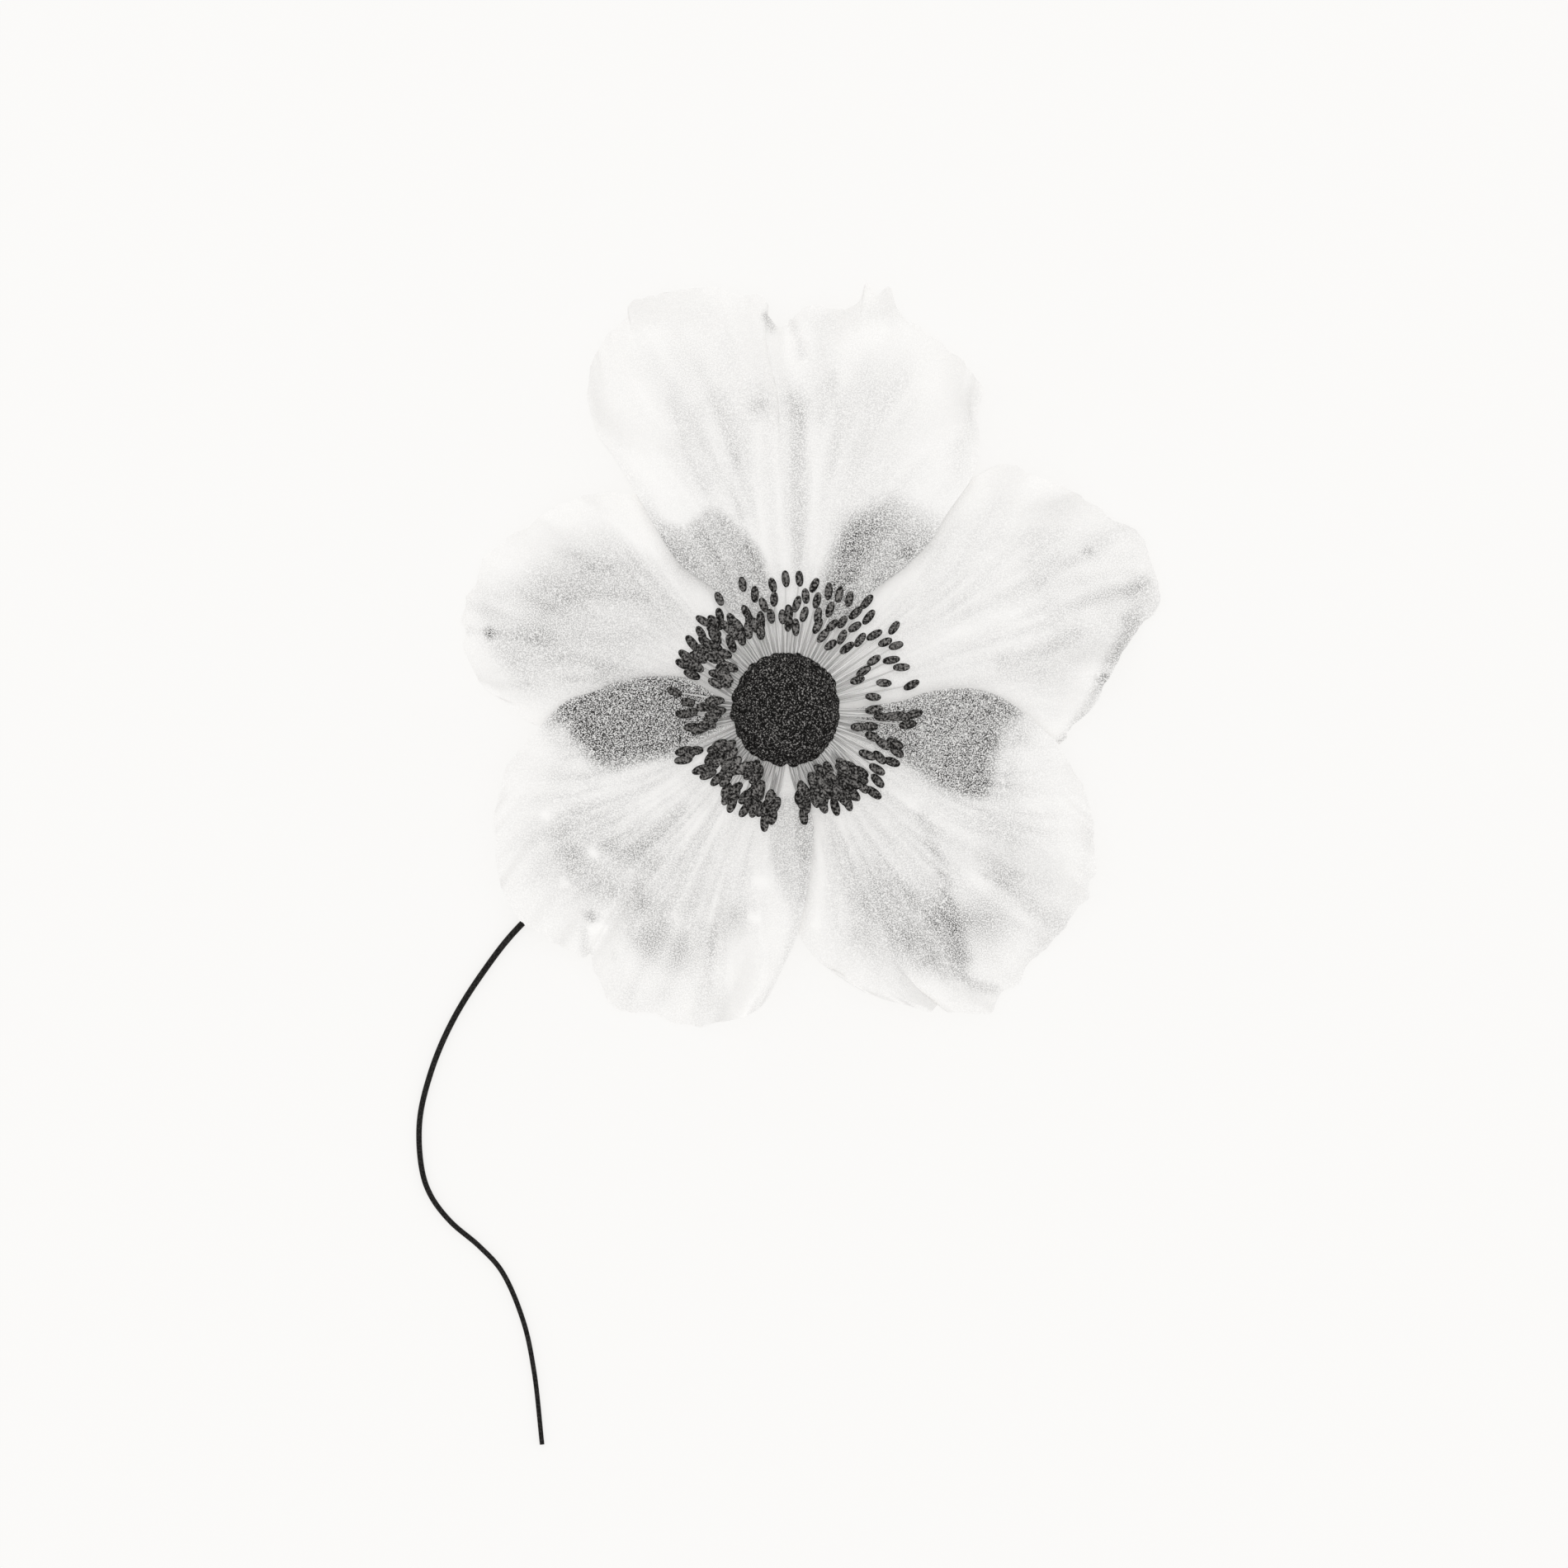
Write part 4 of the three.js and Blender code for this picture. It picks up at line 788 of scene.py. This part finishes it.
def petal_tone(name, points, folds, veins):
    """How deep a petal's colour is, from 0 at a thin clear margin to 1. It is deeper away from the
    margin, along its strokes and in its folds, and where another petal lies beneath it takes painted
    shade for the light lost through both layers."""
    petal = PETALS[name]
    x, y = points.T / MOTTLE_WIDTH
    mottle = COARSE_MOTTLE * uneven(x, y, petal["seed"] + 5)
    mottle += FINE_MOTTLE * uneven(MOTTLE_FINER * x, MOTTLE_FINER * y, petal["seed"] + 6)
    streaks = FOLD_SHARE * folds + VEIN_SHARE * veins
    depth = np.maximum(depth_inside(points, outlines[name]), 0)
    inner = ramp(depth, RIM_FLAT, RIM_WIDTH)
    from_claw = CLAW_SHARE + (1 - CLAW_SHARE) * ramp(np.hypot(*points.T), *CLAW_TO_MIDDLE)
    density = petal["rim"] + petal["middle"] * inner * from_claw
    shown = RIM_STREAKS + (1 - RIM_STREAKS) * inner
    density += petal["streaks"] * (streaks + MOTTLE_SHARE * mottle) * shown
    rough = 1 + STROKE_STREAKS * streaks + STROKE_MOTTLE * mottle
    for line, width, shade in petal["shades"]:
        density += shade * np.exp(-((distance_to_line(points, line, False) / width) ** 2)) * rough
    # Where a petal lies beneath, painted shade deepens the colour for the light lost through both layers
    for beneath, through in petal["over"].items():
        margin = np.array(through.get("shows", outlines[beneath]))
        overlap_shade = ramp(depth_inside(points, margin), -OVERLAP_SPREAD, through["softness"])
        overlap_shade *= 1 - ramp(np.hypot(*points.T), *through.get("thins", NEVER_THINS))
        overlap_shade *= ramp(depth, *through.get("onset", SHARP_ONSET))
        density += through["shade"] * overlap_shade * (1 + OVERLAP_UNEVEN * (rough - 1))
    return 1 - np.exp(-np.maximum(density, 0))


def petal_body(name):
    """Corners, faces and tone of a petal: two faces over the same grid, and a wall round the edge."""
    petal = PETALS[name]
    steps = np.linspace(0, 1, MARGIN_STEPS * (len(petal["tip"]) - 1) + 1)
    margin = curve_at(petal["tip"], steps)
    travelled = np.concatenate([[0], np.cumsum(np.linalg.norm(np.diff(margin, axis=0), axis=1))])
    places = np.linspace(0, travelled[-1], COLUMNS)
    across = np.interp(places, travelled, steps)
    along = 1 - (1 - np.linspace(0, 1, ROWS)) ** ROWS_CROWD
    grid = spread_over(petal, across, along)
    outward = grid[-1] - grid[-4]
    outward /= np.linalg.norm(outward, axis=1)[:, None]
    ends = ramp(np.minimum(across, 1 - across), 0, NOTCH_ENDS)
    level = 0 * places
    cut = NOTCH * ends * (uneven(places / NOTCH_WIDTH, level, petal["seed"]) - NOTCH_INWARD)
    fine = uneven(places / NOTCH_WIDTH * NOTCH_FINER, level, petal["seed"] + 1)
    cut += NOTCH * FINE_NOTCH * ends * fine
    grid = grid + (ramp(along, NOTCH_FROM, 1)[:, None] * cut)[..., None] * outward[None]

    points = grid.reshape(-1, 2)
    u = np.tile(across, ROWS)
    v = np.repeat(along, COLUMNS)
    folds, veins = streaks_of(name, points)
    height = petal_heights(name, points, u, v, np.tile(places, ROWS))
    height += FOLD_HEIGHT * (folds + VEIN_RELIEF * veins) * ramp(v, *FOLD_FROM)
    edge = np.minimum(np.minimum(u, 1 - u) * SIDE_EDGE, 1 - v)
    half = BLADE / 2 * (EDGE_SHARE + (1 - EDGE_SHARE) * ramp(edge, 0, EDGE_WIDTH))
    height = np.maximum(height, half)
    lower = np.column_stack([points, height - half])
    upper = np.column_stack([points, height + half])

    count = len(points)
    index = np.arange(count).reshape(ROWS, COLUMNS)
    a, b = index[:-1, :-1].ravel(), index[:-1, 1:].ravel()
    c, d = index[1:, 1:].ravel(), index[1:, :-1].ravel()
    faces = np.stack([a, b, c, d], 1).tolist()
    faces += np.stack([a + count, d + count, c + count, b + count], 1).tolist()
    rim = np.concatenate([index[0, :-1], index[:-1, -1], index[-1, :0:-1], index[:0:-1, 0]])
    following = np.roll(rim, -1)
    faces += np.stack([following, rim, rim + count, following + count], 1).tolist()
    tone = petal_tone(name, points, folds, veins)
    return np.concatenate([lower, upper]), faces, np.concatenate([tone, tone])


def tone_node(nodes):
    """A node that reads the tone of the mesh."""
    tone = nodes.new("ShaderNodeAttribute")
    tone.attribute_name = "tone"
    return tone


def keep_tone(made, tone):
    """Keeps a tone for each corner of a piece's mesh."""
    made.data.attributes.new("tone", "FLOAT", "POINT").data.foreach_set("value", tone)


def petal_tissue():
    """Soft white tissue that lets some light through. The tone of the mesh deepens its colour, also with
    painted shade where petals overlap, and the fine speckle of its cells breaks it up."""
    material, nodes, links, shader = new_material("petal tissue", roughness=0.6, shine=0.12)
    grain = grain_on(nodes, links, shader, size=0.00015, contrast=3.8, middle=0.5, depth=0.000014)
    around = nodes.new("ShaderNodeMapRange")
    around.inputs["To Min"].default_value = 1 - PETAL_SPECKLE
    around.inputs["To Max"].default_value = 1 + PETAL_SPECKLE
    uneven_tone = nodes.new("ShaderNodeMath")
    uneven_tone.operation = "MULTIPLY"
    uneven_tone.use_clamp = True
    colour = colour_node(nodes, PETAL_PALE, PETAL_DEEP)
    through = nodes.new("ShaderNodeBsdfTranslucent")
    both = nodes.new("ShaderNodeMixShader")
    both.inputs["Fac"].default_value = PETAL_TRANSLUCENCY
    links.new(grain.outputs["Mask"], around.inputs["Value"])
    links.new(tone_node(nodes).outputs["Fac"], uneven_tone.inputs[0])
    links.new(around.outputs["Result"], uneven_tone.inputs[1])
    links.new(uneven_tone.outputs[0], colour.inputs["Factor"])
    links.new(colour.outputs["Result"], shader.inputs["Base Color"])
    links.new(colour.outputs["Result"], through.inputs["Color"])
    links.new(shader.outputs["BSDF"], both.inputs[1])
    links.new(through.outputs["BSDF"], both.inputs[2])
    links.new(both.outputs["Shader"], nodes["Material Output"].inputs["Surface"])
    return material


petal_material = petal_tissue()
for name in PETALS:
    corners, faces, tone = petal_body(name)
    petal = piece(name + "_blade", corners, faces, name, "petal", [petal_material])
    keep_tone(petal, tone)

# Stamens. Fine pale filaments grow together from one collar round the dome, every other one lower
# and in the shade of its neighbours; that shade, and shade along each filament's flanks, is painted
# into their colour. Each carries a dark two-lobed anther, with painted shade along its sides and
# ends. Some stand apart, and the rest crowd in tufts.
COLLAR = [(0, 9.1), (5, 9.1), (5.3, 9.3), (5.3, 9.6), (5, 9.8), (0, 9.8)]
COLLAR_SIDES = 96
FILAMENT_ROOT = 4.6
FILAMENT_BASE = 0.165
FILAMENT_END = 0.065
FILAMENT_STEPS = 14
FILAMENT_SIDES = 10
FILAMENT_APART = 3.3  # degrees that the upper filaments keep at their roots, as far as they can
SPREAD_ROUNDS = 200
ROOT_HEIGHT = 9.6
LOWER_ROOT = 0.45  # how much lower every other filament starts
# Painted shade of the lower filaments, which lie in their neighbours' shade
LOWER_SHADE = 0.38
OUTER_TONE = 0.2
FILAMENT_SHADED_SIDE = (0.8, 1)  # shares of its half width between which a filament turns dark with painted shade on its flanks
KNEE = {"reach": 8.9, "share": 0.62, "height": 9.8}
ANTHER_LENGTH = 2.25
ANTHER_RADIUS = 0.54
LOOSE_SIZE = 0.9  # how large an anther that stands apart is beside one in a tuft
ANTHER_RINGS = 11
ANTHER_SIDES = 16
ANTHER_LEAN = 20
ANTHER_SIDE_SHADE = 0.85  # how much darker an anther is painted along its sides and ends than along its back, as painted shade
LOWEST_ANTHER = 11
HIGHER_INWARD = 0.55
LONGEST_REACH = 16.2
UNEVEN_HEIGHT = 0.9
TUFT_TURN = 2.4  # radians from one stamen of a tuft to the next
TUFT_UNEVEN = 0.25
STAMEN_SEED = 7
COLLAR_TONE = 0.6
ANTHER_ENDS = 0.12  # how much of the oval is cut off at either end, in radians
ANTHER_ROUNDNESS = 0.42  # 0.5 would make an anther's outline an ellipse, and less makes it blunter
ANTHER_WAIST = 0.74  # how thick an anther is beside its width, before the groove is cut
GROOVE_DEPTH, GROOVE_WIDTH = 0.24, 0.12
LEAST_RISE, MORE_RISE = 0.1, 0.6  # how steeply an anther points up, and what chance can add
FULL_RISE = 4  # how far inward from the longest reach chance can add all of that
LENGTH_RANGE = (0.88, 1.08)
BACK_TONE, BACK_UNEVEN = 0.3, 0.4

# Stamens that stand apart from the rest: direction in degrees and reach of each anther
LOOSE_ANTHERS = [
    (84, 15.7), (90, 15.6), (96, 14.9), (96, 13.2), (88, 11.6), (80, 13.7), (77, 15.2), (70, 15),
    (65, 15.1), (60, 15.2), (53, 16.1), (54, 14.2), (50, 12.8), (48, 14.8), (37, 16.2), (40, 13.8),
    (43, 12.1), (45, 10.3), (34, 14.3), (30, 15.2), (25, 13.9), (29, 12), (20, 14.7), (26, 10.3),
    (22, 9.2), (15, 12.1), (11, 15.3), (8, 10.5), (79, 11.5), (71, 11.8), (63, 9.8), (55, 9.3),
    (109, 15.8), (105, 14.2), (102, 12.7), (112, 12.4), (121, 15.4), (125, 13.7), (133, 14.4),
    (138, 13.6), (171, 13.4), (160, 8.9), (88, 10.2), (57, 12.4), (66, 13), (52, 10.9), (69, 10.6),
    (61, 11.4), (92, 11), (84, 12.6), (74, 13.5), (99, 11.2), (83, 9.8),
]
# Tufts of stamens: direction, reach, half spread in degrees, half spread in reach, and count
TUFTS = [
    (108, 10.6, 5, 1, 4), (122, 11, 8, 1.6, 7), (131, 12.6, 4, 1, 2), (142, 11.4, 8, 2, 12),
    (154, 12.5, 7, 1.3, 7), (150, 8.6, 8, 0.8, 6), (179, 11.2, 8, 1.5, 4), (182, 8.6, 9, 0.8, 5),
    (192, 10.6, 3, 1.4, 3), (204, 12.6, 4, 1.2, 4), (213, 9.2, 8, 1.4, 7), (218, 12, 5, 0.9, 3),
    (228, 9.8, 6, 1.9, 7), (238, 12, 4, 1.2, 5), (243, 8.4, 6, 0.9, 6), (250, 11.2, 6, 2.1, 12),
    (261, 12, 4, 1.9, 8), (281, 10.6, 3, 2.3, 7), (292, 10.8, 5, 1.7, 10), (299, 9, 8, 1, 6),
    (304, 12, 7, 1.9, 10), (315, 11.2, 6, 2.2, 11), (320, 13.8, 4, 1, 2), (330, 12.4, 7, 1.9, 4),
    (341, 13.6, 4, 1.2, 3), (346, 10.2, 6, 1.2, 3), (355, 13.8, 5, 1.6, 4), (358, 10.4, 4, 1.2, 2),
]
ANTHER_DARK = (0.006, 0.0055, 0.005, 1)
ANTHER_PALE = (0.22, 0.212, 0.204, 1)
FILAMENT_PALE = (0.97, 0.96, 0.945, 1)
# The dark end of the filament colour: painted shade on the flanks and on the lower filaments, and the
# darker tissue outward
FILAMENT_DARK_AND_SHADE = (0.03, 0.028, 0.026, 1)


def anther_places(chance):
    """Direction, reach and relative size of each anther, in order round the dome."""
    places = [(direction, reach, LOOSE_SIZE) for direction, reach in LOOSE_ANTHERS]
    for direction, reach, half_angle, half_reach, count in TUFTS:
        for i in range(count):
            turn = i * TUFT_TURN + chance.uniform(-TUFT_UNEVEN, TUFT_UNEVEN)
            out = math.sqrt((i + 0.5) / count) * (1 + chance.uniform(-TUFT_UNEVEN, TUFT_UNEVEN))
            places.append((
                direction + half_angle * out * math.cos(turn),
                reach + half_reach * out * math.sin(turn),
                1,
            ))
    return sorted(places)


def root_directions(directions):
    """Where the filaments start: the upper ones moved apart, and a lower one between each two."""
    upper = np.array(directions[::2], float)
    for _ in range(SPREAD_ROUNDS):
        lacking = np.maximum(FILAMENT_APART - (np.roll(upper, -1) - upper) % 360, 0)
        upper += (np.roll(lacking, 1) - lacking) / 4
    between = upper + ((np.roll(upper, -1) - upper) % 360) / 2
    return np.stack([upper, between], 1).ravel()[: len(directions)]


def point_at(degrees, distance, height):
    """A point in a direction and at a distance from the bloom's middle."""
    turn = math.radians(degrees)
    return np.array([distance * math.cos(turn), distance * math.sin(turn), height])


def bezier(start, middle, end, steps):
    """Points of a curve from start to end that is drawn towards a middle point."""
    t = np.linspace(0, 1, steps)[:, None]
    return (1 - t) ** 2 * start + 2 * t * (1 - t) * middle + t**2 * end


def filament_parts(direction, reach, root_direction, height, lower):
    """A filament's corners and faces, and its tone: painted shade along its sides and, on a lower one,
    towards its root, and a darker tone outward.
    """
    root = point_at(root_direction, FILAMENT_ROOT, ROOT_HEIGHT - LOWER_ROOT * lower)
    knee_reach = max(KNEE["reach"], KNEE["share"] * reach)
    knee_height = KNEE["height"] - LOWER_ROOT * lower
    knee = point_at((direction + root_direction) / 2, knee_reach, knee_height)
    centres = bezier(root, knee, point_at(direction, reach, height), FILAMENT_STEPS)
    radii = np.linspace(FILAMENT_BASE, FILAMENT_END, FILAMENT_STEPS)[:, None] * np.ones(FILAMENT_SIDES)
    turns = np.linspace(0, 2 * math.pi, FILAMENT_SIDES, endpoint=False)
    # Painted shade on the filament's flanks
    sides = ramp(np.abs(np.cos(turns)), *FILAMENT_SHADED_SIDE)
    outward = np.linspace(0, 1, FILAMENT_STEPS)[:, None] ** 2
    # Painted shade along a lower filament towards its root, and a darker tone outward
    back = LOWER_SHADE * lower * (1 - outward) + OUTER_TONE * outward
    return tube(centres, radii, FILAMENT_SIDES), np.maximum(sides, back).ravel()


def anther_parts(tip, heading, length, radius, tone):
    """A two-lobed oval's corners and faces, and its tone. A groove runs along it above and below,
    and painted shade along its sides and ends leaves it palest along its back."""
    along = -np.cos(np.linspace(ANTHER_ENDS, math.pi - ANTHER_ENDS, ANTHER_RINGS))
    centres = tip + np.outer(along * length / 2, heading)
    swell = (1 - along**2) ** ANTHER_ROUNDNESS
    turns = np.linspace(0, 2 * math.pi, ANTHER_SIDES, endpoint=False)
    groove = GROOVE_DEPTH * np.exp(-((np.abs(np.sin(turns)) - 1) / GROOVE_WIDTH) ** 2)
    lobes = ANTHER_WAIST + (1 - ANTHER_WAIST) * np.cos(turns) ** 2 - groove
    # Painted shade: darker along the sides and ends, palest along the back
    back = 1 - ANTHER_SIDE_SHADE * np.maximum(np.abs(np.cos(turns))[None], np.abs(along)[:, None]) ** 2
    return tube(centres, radius * swell[:, None] * lobes[None], ANTHER_SIDES), (tone * back).ravel()


def stamens_body():
    """Corners, faces, tone and kind of all filaments, anthers and the collar."""
    chance = np.random.default_rng(STAMEN_SEED)
    parts = [turned(COLLAR, COLLAR_SIDES)]
    tones = [np.full(len(parts[0][0]), COLLAR_TONE)]
    kinds = [np.zeros(len(parts[0][1]), int)]
    places = anther_places(chance)
    roots = root_directions([place[0] for place in places])
    for i, (direction, reach, size) in enumerate(places):
        inward = LONGEST_REACH - reach
        height = LOWEST_ANTHER + HIGHER_INWARD * inward + UNEVEN_HEIGHT * chance.random()
        root_direction = direction + (roots[i] - direction + 180) % 360 - 180
        filament, tone = filament_parts(direction, reach, root_direction, height, i % 2)
        parts.append(filament)
        tones.append(tone)
        kinds.append(np.zeros(len(filament[1]), int))

        lean = chance.uniform(-ANTHER_LEAN, ANTHER_LEAN)
        rise = LEAST_RISE + MORE_RISE * chance.random() ** 2 * min(inward / FULL_RISE, 1)
        heading = point_at(direction + lean, 1, rise)
        heading /= np.linalg.norm(heading)
        length = size * ANTHER_LENGTH * chance.uniform(*LENGTH_RANGE)
        middle = point_at(direction, reach, height)
        back_tone = BACK_TONE + BACK_UNEVEN * chance.random()
        anther, tone = anther_parts(middle, heading, length, size * ANTHER_RADIUS, back_tone)
        parts.append(anther)
        tones.append(tone)
        kinds.append(np.ones(len(anther[1]), int))
    return *joined(parts), np.concatenate(tones), np.concatenate(kinds)


def filament_material():
    """Pale tissue, with painted shade along either edge and on the lower filaments and a darker tone
    outward, given by the tone of the mesh.
    """
    material, nodes, links, shader = new_material("filament", roughness=0.5, shine=0.2)
    colour = colour_node(nodes, FILAMENT_PALE, FILAMENT_DARK_AND_SHADE)
    links.new(tone_node(nodes).outputs["Fac"], colour.inputs["Factor"])
    links.new(colour.outputs["Result"], shader.inputs["Base Color"])
    return material


def anther_skin():
    """A dark skin. The tone of the mesh makes its speckle paler along an anther's back and darker, as
    painted shade, along its sides and ends.
    """
    material = speckled(
        "anther", ANTHER_DARK, ANTHER_PALE,
        size=0.00026, contrast=3.5, middle=0.3, roughness=0.8, depth=0.00004,
    )
    nodes, links = material.node_tree.nodes, material.node_tree.links
    links.new(tone_node(nodes).outputs["Fac"], nodes["grain"].inputs["Middle"])
    return material


corners, faces, tone, kinds = stamens_body()
anther_material = anther_skin()
stamens = piece("stamen_ring", corners, faces, "stamens", "stamen", [filament_material(), anther_material])
keep_tone(stamens, tone)
stamens.data.polygons.foreach_set("material_index", kinds)

# Pistil. A dense, nearly round, almost black dome of several hundred small carpels, each a blunt
# knob, packed in spirals on the middle of the receptacle.
DOME = {"bottom": 10.1, "middle": 12.2, "top": 17.4, "half_width": 6.3, "half_length": 6.55}
DOME_FOOT = 55  # degrees below level at which the dome ends
FOOT_FADE = 0.12  # how far above the foot the knobs have their full height, in radii of the dome
CARPELS = 340
CARPEL_HEIGHT = 0.55
CARPEL_UNEVEN = 0.5
CARPEL_SPREAD = 1.1  # the square of a knob's reach, beside its share of the area of half a ball
CARPEL_ROUNDNESS = 0.7
CARPEL_SUNK = 0.6  # the share of a knob's height that lies below the dome's plain surface
DOME_SEED = 5
DOME_AROUND = 260
DOME_LEVELS = 110
GOLDEN_TURN = math.pi * (3 - math.sqrt(5))
DOME_DARK = (0.005, 0.0046, 0.0042, 1)
DOME_PALE = (0.28, 0.27, 0.26, 1)


def dome_body():
    """Corners and faces of the dome, whose surface rises in a knob over each carpel."""
    seeds = []
    lowest = -math.sin(math.radians(DOME_FOOT))
    for i in range(CARPELS):
        height = 1 - (1 - lowest) * (i + 0.5) / CARPELS
        out = math.sqrt(1 - height**2)
        seeds.append((out * math.cos(i * GOLDEN_TURN), out * math.sin(i * GOLDEN_TURN), height))
    seeds = np.array(seeds)

    rises = np.radians(np.linspace(-DOME_FOOT, 90, DOME_LEVELS + 1)[:-1])
    turns = np.linspace(0, 2 * math.pi, DOME_AROUND, endpoint=False)
    out, up = np.cos(rises)[:, None], np.sin(rises)[:, None] * np.ones(DOME_AROUND)
    ball = np.stack([out * np.cos(turns), out * np.sin(turns), up], -1).reshape(-1, 3)
    ball = np.concatenate([ball, [(0, 0, 1)]])
    squares = ((ball[:, None] - seeds[None]) ** 2).sum(2)
    nearest = squares.argmin(1)
    spacing = 2 * math.pi / CARPELS * CARPEL_SPREAD
    round_knob = np.maximum(1 - squares.min(1) / spacing, 0) ** CARPEL_ROUNDNESS
    taller = 1 + np.random.default_rng(DOME_SEED).uniform(-CARPEL_UNEVEN, CARPEL_UNEVEN, CARPELS)
    knob = CARPEL_HEIGHT * (round_knob * taller[nearest] - CARPEL_SUNK)
    below = (DOME["middle"] - DOME["bottom"]) / -lowest
    above = DOME["top"] - DOME["middle"]
    scale = np.empty_like(ball)
    scale[:, 0] = DOME["half_width"]
    scale[:, 1] = DOME["half_length"]
    scale[:, 2] = np.where(ball[:, 2] < 0, below, above)
    foot = ramp(ball[:, 2], lowest, lowest + FOOT_FADE)
    corners = ball * (scale + (knob * foot)[:, None]) + (0, 0, DOME["middle"])

    index = np.arange(DOME_LEVELS * DOME_AROUND).reshape(DOME_LEVELS, DOME_AROUND)
    onward = np.roll(index, -1, axis=1)
    faces = np.stack([index[:-1], onward[:-1], onward[1:], index[1:]], -1).reshape(-1, 4).tolist()
    faces += [(a, b, len(ball) - 1) for a, b in zip(index[-1], onward[-1])]
    faces.append(tuple(int(i) for i in index[0, ::-1]))
    return corners, faces


dome_material = speckled(
    "carpels", DOME_DARK, DOME_PALE,
    size=0.00021, contrast=6, middle=-0.16, roughness=0.85, depth=0.00005,
)
piece("pistil_dome", *dome_body(), "pistil", "pistil", [dome_material])

# Surface, light and camera. The bloom lies on a plain pale surface under a soft overhead light,
# and the camera looks straight down on it. Places and widths here are in metres, and the lens and
# its sensor in millimetres.
SURFACE_HALF = 4.0
SURFACE_COLOUR = (0.3, 0.3, 0.3, 1)
SURFACE_GLOW = (0.625, 0.617, 0.604, 1)
LOOK_AT = (-0.00045, 0.0097)
FRAME_WIDTH = 0.19
LENS = 150
SENSOR = 36
SKY = 0.8
OVERHEAD = 0.34
OVERHEAD_ANGLE = 9  # degrees that the light's disc spans

surface_mesh = bpy.data.meshes.new("surface")
corner_signs = ((-1, -1), (1, -1), (1, 1), (-1, 1))
surface_corners = [(x * SURFACE_HALF, y * SURFACE_HALF, 0) for x, y in corner_signs]
surface_mesh.from_pydata(surface_corners, [], [(0, 1, 2, 3)])
surface = bpy.data.objects.new("surface", surface_mesh)
bpy.context.scene.collection.objects.link(surface)
surface_material, _, _, surface_shader = new_material("pale surface", roughness=0.9, shine=0)
surface_shader.inputs["Base Color"].default_value = SURFACE_COLOUR
surface_shader.inputs["Emission Color"].default_value = SURFACE_GLOW
surface_shader.inputs["Emission Strength"].default_value = 1
surface_mesh.materials.append(surface_material)

world = bpy.data.worlds.new("soft light")
world.use_nodes = True
world.node_tree.nodes["Background"].inputs["Color"].default_value = (1, 1, 1, 1)
world.node_tree.nodes["Background"].inputs["Strength"].default_value = SKY
bpy.context.scene.world = world

overhead_light = bpy.data.lights.new("overhead", "SUN")
overhead_light.energy = OVERHEAD * math.pi
overhead_light.angle = math.radians(OVERHEAD_ANGLE)
overhead = bpy.data.objects.new("overhead", overhead_light)
bpy.context.scene.collection.objects.link(overhead)

camera_data = bpy.data.cameras.new("camera")
camera_data.lens = LENS
camera_data.sensor_width = SENSOR
camera = bpy.data.objects.new("camera", camera_data)
camera.location = (*LOOK_AT, FRAME_WIDTH * LENS / SENSOR)
bpy.context.scene.collection.objects.link(camera)
bpy.context.scene.camera = camera
bpy.context.scene.view_settings.view_transform = "Standard"

bpy.context.view_layer.update()
